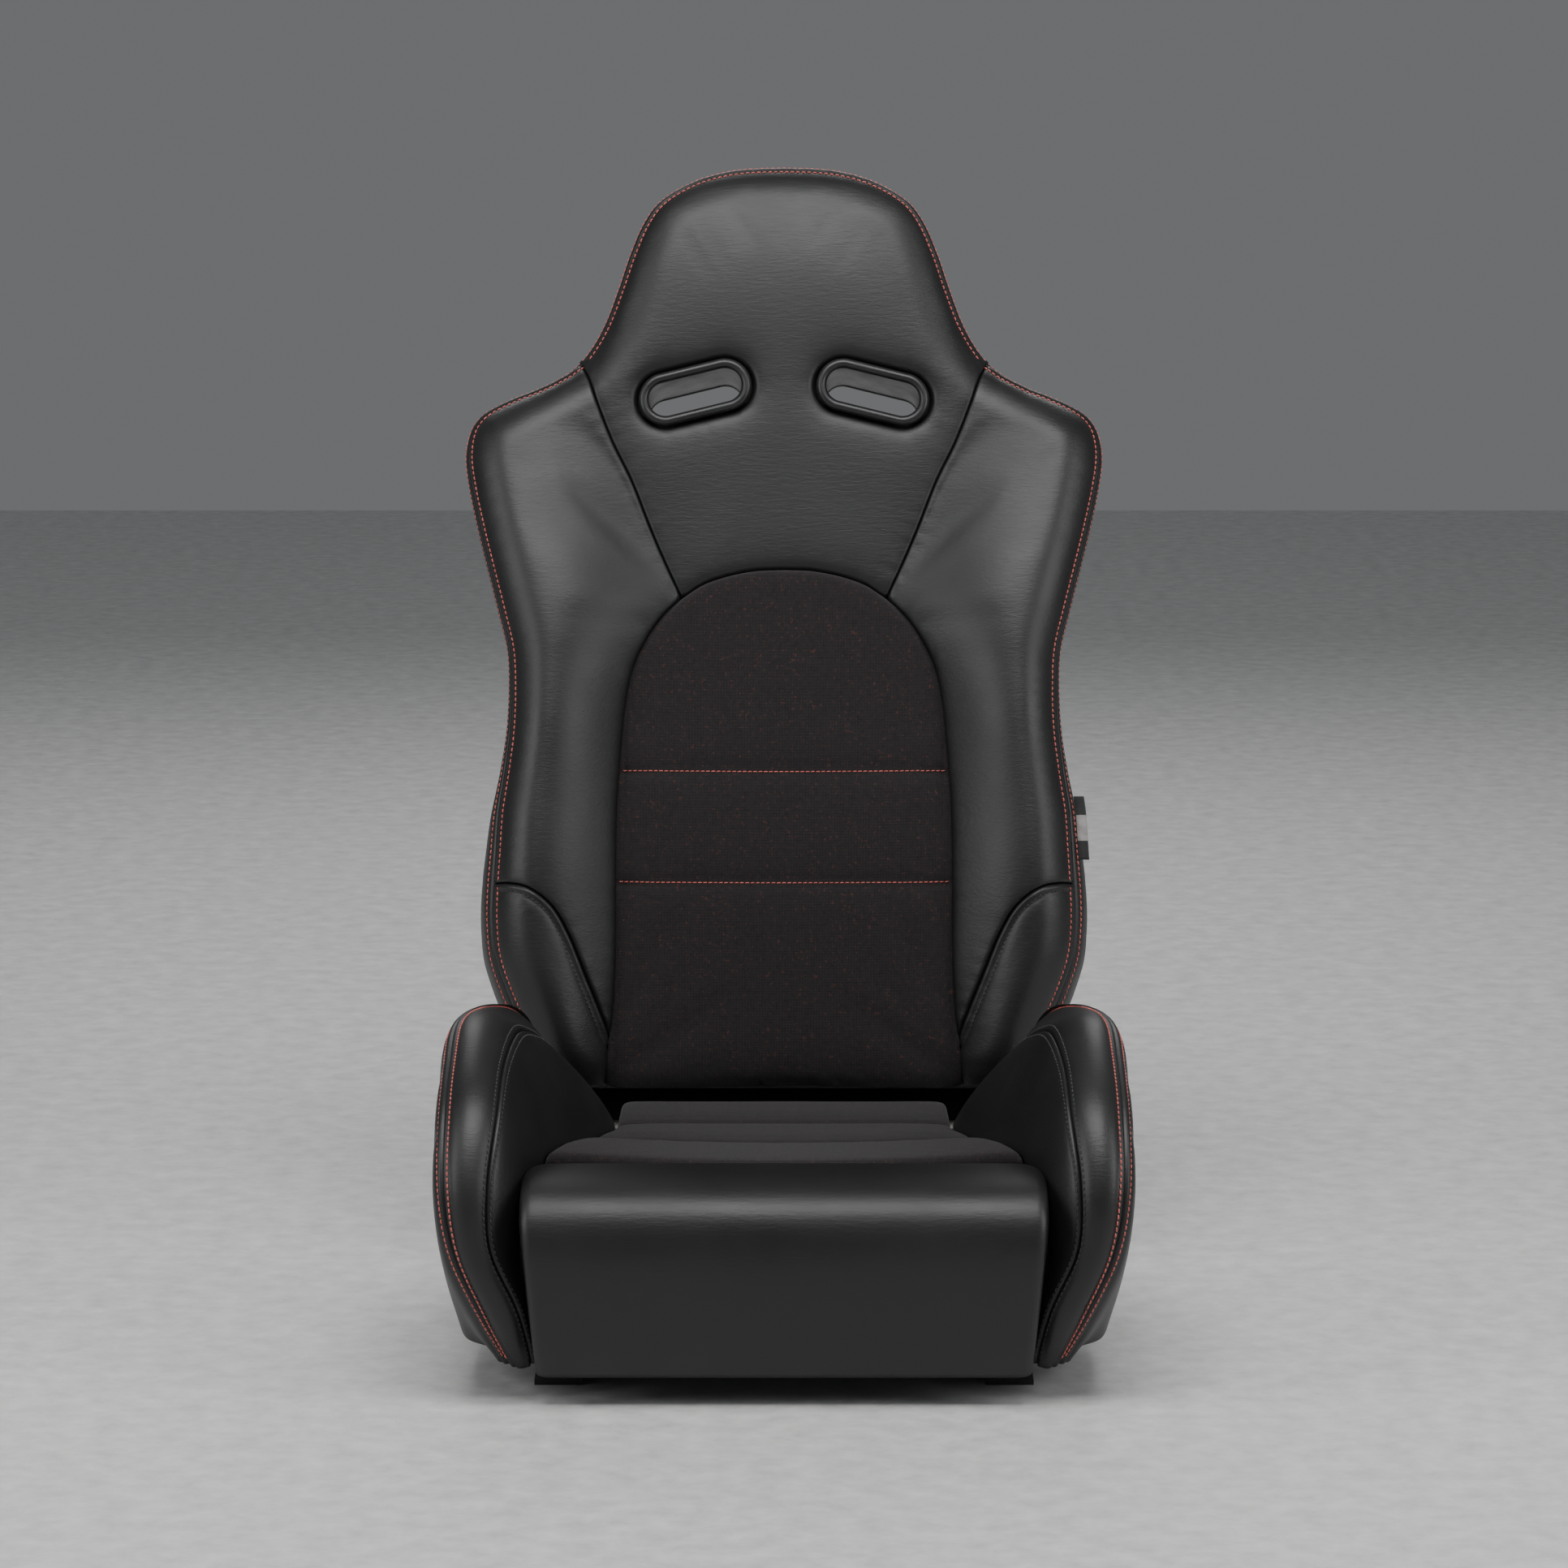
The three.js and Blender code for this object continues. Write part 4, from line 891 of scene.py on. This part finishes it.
def build_slots():
    """Front and rear ring of each harness slot, and the ribbed sleeve between them."""
    front = float(read(CENTRE, SLOT_S)) + 2.2
    rear = float(read(REAR, SLOT_S)) - 4.5
    wall_in = stadium(SLOT_STRAIGHT, 16.2)
    wall_out = stadium(SLOT_STRAIGHT, 18.6)
    wall_out = wall_out[np.linspace(0, len(wall_out), len(wall_in), endpoint=False).astype(int)]
    depths = np.linspace(rear + 3.5, front - 3.6, 14) + 0.35 * np.sin(np.linspace(0, 14 * math.pi, 14))
    walls = [(wall_in, n) for n in depths] + [(wall_out, n) for n in depths[::-1]]
    for letter, mirror_x in (("R", 1), ("L", -1)):
        hoop("front_" + letter, mirror_x, RING_TUBE, front)
        hoop("rear_" + letter, mirror_x, 3.4, rear)
        verts = [on_back(wall * [mirror_x, 1], np.full(len(wall), n)) for wall, n in walls]
        faces = grid_faces(len(walls), len(wall_in), True, True)
        if mirror_x > 0:
            faces = faces[:, ::-1]
        obj = create("slot_sleeve_" + letter, np.vstack(verts), faces, PLASTIC)
        finish_piece(obj, "backrest", "black_plastic", "harness_sleeve_" + letter)


def build_tab():
    """Plain folded cloth tab in the side seam, with one pale band."""
    rows = np.linspace(222, 276, 28)
    profile = [(-1, 0.9), (2.5, 1), (5.5, 1.1), (7.2, 0.9), (7.9, 0), (7.2, -0.9), (5.5, -1.1), (2.5, -1),
               (-1, -0.9)]
    grid = []
    for s in rows:
        edge = float(read(OUTLINE, s)) + 6.0
        n = float(front_depth(np.array([[edge - 6.0, s]]))[0]) - 7.0
        lean = 0.5 * math.sin(s / 7)
        flat = np.array([[edge + a, s] for a, _ in profile])
        grid.append(on_back(flat, np.array([n + b + lean for _, b in profile])))
    grid = np.array(grid)
    verts = grid.reshape(-1, 3)
    faces = grid_faces(len(rows), len(profile)).tolist()
    columns = len(profile)
    for i in range(len(rows) - 1):
        a, b = i * columns, (i + 1) * columns
        faces.append([a + columns - 1, a, b, b + columns - 1])
    faces.append(list(range(columns))[::-1])
    faces.append([(len(rows) - 1) * columns + j for j in range(columns)])
    obj = create("side_tab_woven", verts, faces, TAB)
    obj.data.materials.append(TAB_BAND)
    for index in range(8 * (columns - 1), 19 * (columns - 1)):
        obj.data.polygons[index].material_index = 1
    finish_piece(obj, "backrest", "woven_tab", "side_tab")


# ---- base
STATIONS = spline(BOLSTER, 1.0)


def station_rows(step=4.0):
    ridge = STATIONS[:, :2]
    length = lengths(ridge)
    at = np.linspace(0, length[-1], int(length[-1] / step))
    rows = np.stack([np.interp(at, length, STATIONS[:, c]) for c in range(STATIONS.shape[1])], axis=1)
    along = unit(np.gradient(rows[:, :2], axis=0))
    out = np.stack([-along[:, 1], along[:, 0]], axis=1)
    return rows, out


def strip_piece(name, start, end, outward, bow, seams, letter, node_name, flare=0.0):
    """Cover between two lines of points. outward points out of it; bow is its crown in the middle."""
    sign = 1 if letter == "R" else -1
    width = np.linalg.norm(end - start, axis=1)
    cut = fractions(float(np.median(width)), last=seams[1] is not None)
    shape = np.sin(np.pi * cut)[None, :, None] ** 0.8
    base = start[:, None] + (end - start)[:, None] * cut[None, :, None]
    turn = flare * (1 - np.exp(-cut[None, :] * width[:, None] / 5))
    grid = base + outward[:, None] * (shape * np.asarray(bow)[:, None, None] + turn[..., None])
    rows, columns = grid.shape[:2]
    faces = grid_faces(rows, columns)
    flat = grid.reshape(-1, 3)
    facing = normals(flat, faces)
    if (facing.reshape(grid.shape) * outward[:, None]).sum() < 0:
        faces = faces[:, ::-1]
    turned = flat * [sign, 1, 1]
    order = faces if sign > 0 else faces[:, ::-1]
    gaps = [cut[None, :] * width[:, None], (1 - cut)[None, :] * width[:, None]]
    held = np.minimum(gaps[0], gaps[1]).reshape(-1) < HELD_GAP
    edge = np.zeros((rows, columns), bool)
    edge[:2] = edge[-2:] = True
    moved = puff(turned, order, held | edge.reshape(-1), 1.0, STRIP_CAP)
    lift = np.full((rows, columns), FULL)
    for gap, profile in zip(gaps, seams):
        if profile is not None:
            lift += read(profile, gap) - FULL
    final = moved + lift.reshape(-1)[:, None] * normals(moved, order)
    under = (turned.reshape(rows, columns, 3) - COVER * (outward * [sign, 1, 1])[:, None]).reshape(-1, 3)
    verts, all_faces = closed(final, order, [orient(border_of(rows, columns), order)], under)
    obj = create(name + "_" + letter, verts, all_faces, LEATHER)
    finish_piece(obj, "base", "leatherette", node_name + "_" + letter, fill=0.8)
    facing = normals(final, order).reshape(rows, columns, 3)
    return final.reshape(rows, columns, 3), facing, cut * float(np.median(width))


def build_bolsters():
    rows, out = station_rows()
    y, z, outer, inner, drop = rows[:, :5].T
    up = np.stack([np.zeros(len(y)), out[:, 0], out[:, 1]], axis=1)
    seam_out = np.stack([outer - SEAM_INSET, y, z], axis=1)
    seam_in = np.stack([inner, y, z - drop], axis=1)
    foot = rows[:, 5:8]
    tuck = np.maximum(0, (outer - 214) / 3)
    under = np.stack([outer - SEAM_INSET - tuck, rows[:, 8], rows[:, 9]], axis=1)
    crown = ((outer - inner) * 0.13 + 1) * (1 - drop / 34)
    sideways = np.repeat([[1.0, 0.0, 0.0]], len(y), axis=0)
    inward = unit(np.cross(np.gradient(seam_in, axis=0), foot - seam_in))
    inward *= -np.sign(inward[:, :1])
    for letter in "LR":
        band = strip_piece("bolster_crown", seam_in, seam_out, up, crown, (TOPSTITCHED, FRENCH), letter,
                           "bolster_band")
        side = strip_piece("bolster_outside", seam_out, under, sideways, np.full(len(y), 3.0), (FRENCH, None),
                           letter, "bolster_side", flare=SEAM_INSET)
        inner_strip = strip_piece("bolster_inside", seam_in, foot, inward, np.full(len(y), 6.0),
                                  (TOPSTITCHED, SUNK), letter, "bolster_inner")
        red = [strip_stitches(band, STITCH_LINE, True, 0.72), strip_stitches(side, STITCH_LINE, False, 0.72)]
        black = [strip_stitches(band, 3.4, False, 0.6), strip_stitches(inner_strip, 3.4, False, 0.6)]
        stitches("bolster_stitches_red_" + letter, red, RED_THREAD, "woven_tab", "base")
        stitches("bolster_stitches_black_" + letter, black, BLACK_THREAD, "leatherette", "base")


def strip_stitches(strip, reach, from_end, radius):
    """Row of stitches along a strip, a set distance from its first or last edge."""
    grid, facing, gaps = strip
    column = int(np.argmin(np.abs((gaps[-1] - gaps if from_end else gaps) - reach)))
    return stitch_row(grid[2:-2, column], facing[2:-2, column], radius=radius)


NOSE_CUT = fractions(400, 9.0)
CUSHION_CUT = fractions(300, 7.0)


def cushion_grid(table, step, half_of, cut, turn):
    """Points across the cushion along a side profile, directions out of it, and distances from its sides."""
    line = spline(table, step)
    along = unit(np.gradient(line, axis=0))
    half = half_of(line)
    edge_gap = (1 - np.abs(cut * 2 - 1))[None] * half[:, None]
    base = np.stack([(cut * 2 - 1)[None] * half[:, None], np.broadcast_to(line[:, :1], edge_gap.shape),
                     np.broadcast_to(line[:, 1:], edge_gap.shape)], axis=2)
    outward = np.stack([np.zeros(len(half)), -turn * along[:, 1], turn * along[:, 0]], axis=1)
    return line, base, outward, edge_gap


def cushion_cover(name, base, outward, lift, sewn, pressure, cap, look, slot, node_name, fill):
    """Closed padded cover over a cushion grid. sewn marks the rows held along a channel."""
    rows, columns = lift.shape
    faces = grid_faces(rows, columns)
    flat = base.reshape(-1, 3)
    if (normals(flat, faces).reshape(rows, columns, 3) * outward[:, None]).sum() < 0:
        faces = faces[:, ::-1]
    held = np.zeros((rows, columns), bool)
    held[:2] = held[-2:] = True
    held[:, :2] = held[:, -2:] = True
    held |= sewn[:, None]
    moved = puff(flat, faces, held.reshape(-1), pressure, cap)
    spread = np.repeat(outward, columns, axis=0)
    final = moved + lift.reshape(-1)[:, None] * spread
    ring = orient(border_of(rows, columns), faces)
    verts, all_faces = closed(final, faces, [ring], flat - CUSHION_DEPTH * spread)
    obj = create(name, verts, all_faces, look)
    finish_piece(obj, "base", slot, node_name, fill=fill)


def build_nose():
    """Leather front roll of the cushion, narrower towards its foot and rolled at its sides."""
    def half_of(line):
        taper = 12 * np.clip((150 - line[:, 1]) / 130, 0, 1)
        return np.minimum(203.5, read(CUSHION_WIDTH, line[:, 0]) + 0.5) - taper

    line, base, outward, edge_gap = cushion_grid(NOSE, 4.5, half_of, NOSE_CUT, -1)
    roll = np.clip(1 - edge_gap / 9, 0, 1) ** 2 * 3.5
    start = read(SUNK, lengths(line))[:, None] - FULL
    lift = read(PLAIN, edge_gap) + start - roll
    cushion_cover("cushion_nose_cover", base, outward, lift, np.zeros(len(line), bool), 1.2, 4.0, LEATHER,
                  "leatherette", "cushion_nose", 0.8)


def build_cushion():
    """Fabric cushion with two sewn channels, its sides raised towards the front."""
    line, base, outward, edge_gap = cushion_grid(
        TOP, 3.6, lambda row: read(CUSHION_WIDTH, row[:, 0]) - 1.5, CUSHION_CUT, 1)
    u = CUSHION_CUT * 2 - 1
    rise = 8 * np.clip((60 - line[:, 0]) / 160, 0, 1)[:, None] * u[None] ** 2
    base = base + outward[:, None] * rise[..., None]
    lift = read(SUNK, edge_gap) + (read(SUNK, lengths(line)) - FULL)[:, None]
    sewn = np.zeros(len(line), bool)
    for y in CUSHION_CHANNELS:
        across = np.abs(line[:, 0] - y)
        sewn |= across < 2
        for dip, reach in CHANNEL_DIPS:
            lift = lift - dip * np.exp(-(across[:, None] / reach) ** 2)
    cushion_cover("cushion_cloth", base, outward, lift, sewn, 2.2, 6.0, TWEED, "tweed_fabric",
                  "cushion_insert", 0.7)


def build_foams():
    """Foam cores, remeshed from their CAD solids so that their edges are rounded."""
    for name, body in (("back_foam", "backrest"), ("seat_foam", "base"), ("bolster_foam_L", "base"),
                       ("bolster_foam_R", "base")):
        source = frame["nodes"][name]
        obj = bpy.data.objects.new(name + "_core", source.data.copy())
        bpy.context.scene.collection.objects.link(obj)
        remesh = obj.modifiers.new("Remesh", "REMESH")
        remesh.mode = "VOXEL"
        remesh.voxel_size = 0.006
        soften = obj.modifiers.new("Smooth", "SMOOTH")
        soften.iterations = 6
        bake(obj)
        obj.data.materials.clear()
        obj.data.materials.append(FOAM)
        obj.data.polygons.foreach_set("use_smooth", [True] * len(obj.data.polygons))
        finish_piece(obj, body, "seat_foam", name, fill=0.9)


def bake(obj):
    """Applies an object's modifiers."""
    shown = obj.evaluated_get(bpy.context.evaluated_depsgraph_get())
    mesh = bpy.data.meshes.new_from_object(shown)
    obj.modifiers.clear()
    obj.data = mesh


# ---- metal and plastic from the frame
def dress_frame():
    looks = {"frame_steel": STEEL, "plated_steel": ZINC, "black_plastic": PLASTIC}
    slots = {p["node"]: p["material_slot"] for p in frame["record"]["subparts"]}
    for name, obj in frame["nodes"].items():
        look = looks.get(slots[name])
        if look is None:
            continue
        obj.data.materials.clear()
        obj.data.materials.append(look)


# ---- stage
def area_light(name, at, aim, size, power):
    data = bpy.data.lights.new(name, "AREA")
    data.shape = "RECTANGLE"
    data.size, data.size_y = size
    data.energy = power
    obj = bpy.data.objects.new(name, data)
    obj.location = at
    obj.rotation_euler = (Vector(aim) - Vector(at)).to_track_quat("-Z", "Y").to_euler()
    bpy.context.scene.collection.objects.link(obj)


def build_stage():
    mesh = bpy.data.meshes.new("floor")
    r = FLOOR_REACH
    mesh.from_pydata([(-r, -r, 0), (r, -r, 0), (r, r, 0), (-r, r, 0)], [], [(0, 1, 2, 3)])
    floor = bpy.data.objects.new("floor", mesh)
    floor.data.materials.append(FLOOR)
    bpy.context.scene.collection.objects.link(floor)
    world = bpy.data.worlds.new("studio")
    world.use_nodes = True
    background = world.node_tree.nodes["Background"]
    background.inputs["Color"].default_value = SKY
    background.inputs["Strength"].default_value = SKY_STRENGTH
    bpy.context.scene.world = world
    for light in LIGHTS:
        area_light(*light)


def build_camera():
    target = Vector((0, -ORIGIN_Y / 1000, CAMERA_AIM))
    data = bpy.data.cameras.new("camera")
    data.sensor_width = 36
    data.lens = LENS
    camera = bpy.data.objects.new("camera", data)
    camera.location = target + CAMERA_FAR * Vector((0, -math.cos(CAMERA_RISE), math.sin(CAMERA_RISE)))
    camera.rotation_euler = (target - camera.location).to_track_quat("-Z", "Y").to_euler()
    bpy.context.scene.collection.objects.link(camera)
    bpy.context.scene.camera = camera


build_camera()
build_stage()
dress_frame()
build_back_front()
build_boxing()
build_rear()
build_slots()
build_tab()
build_bolsters()
build_nose()
build_cushion()
build_foams()
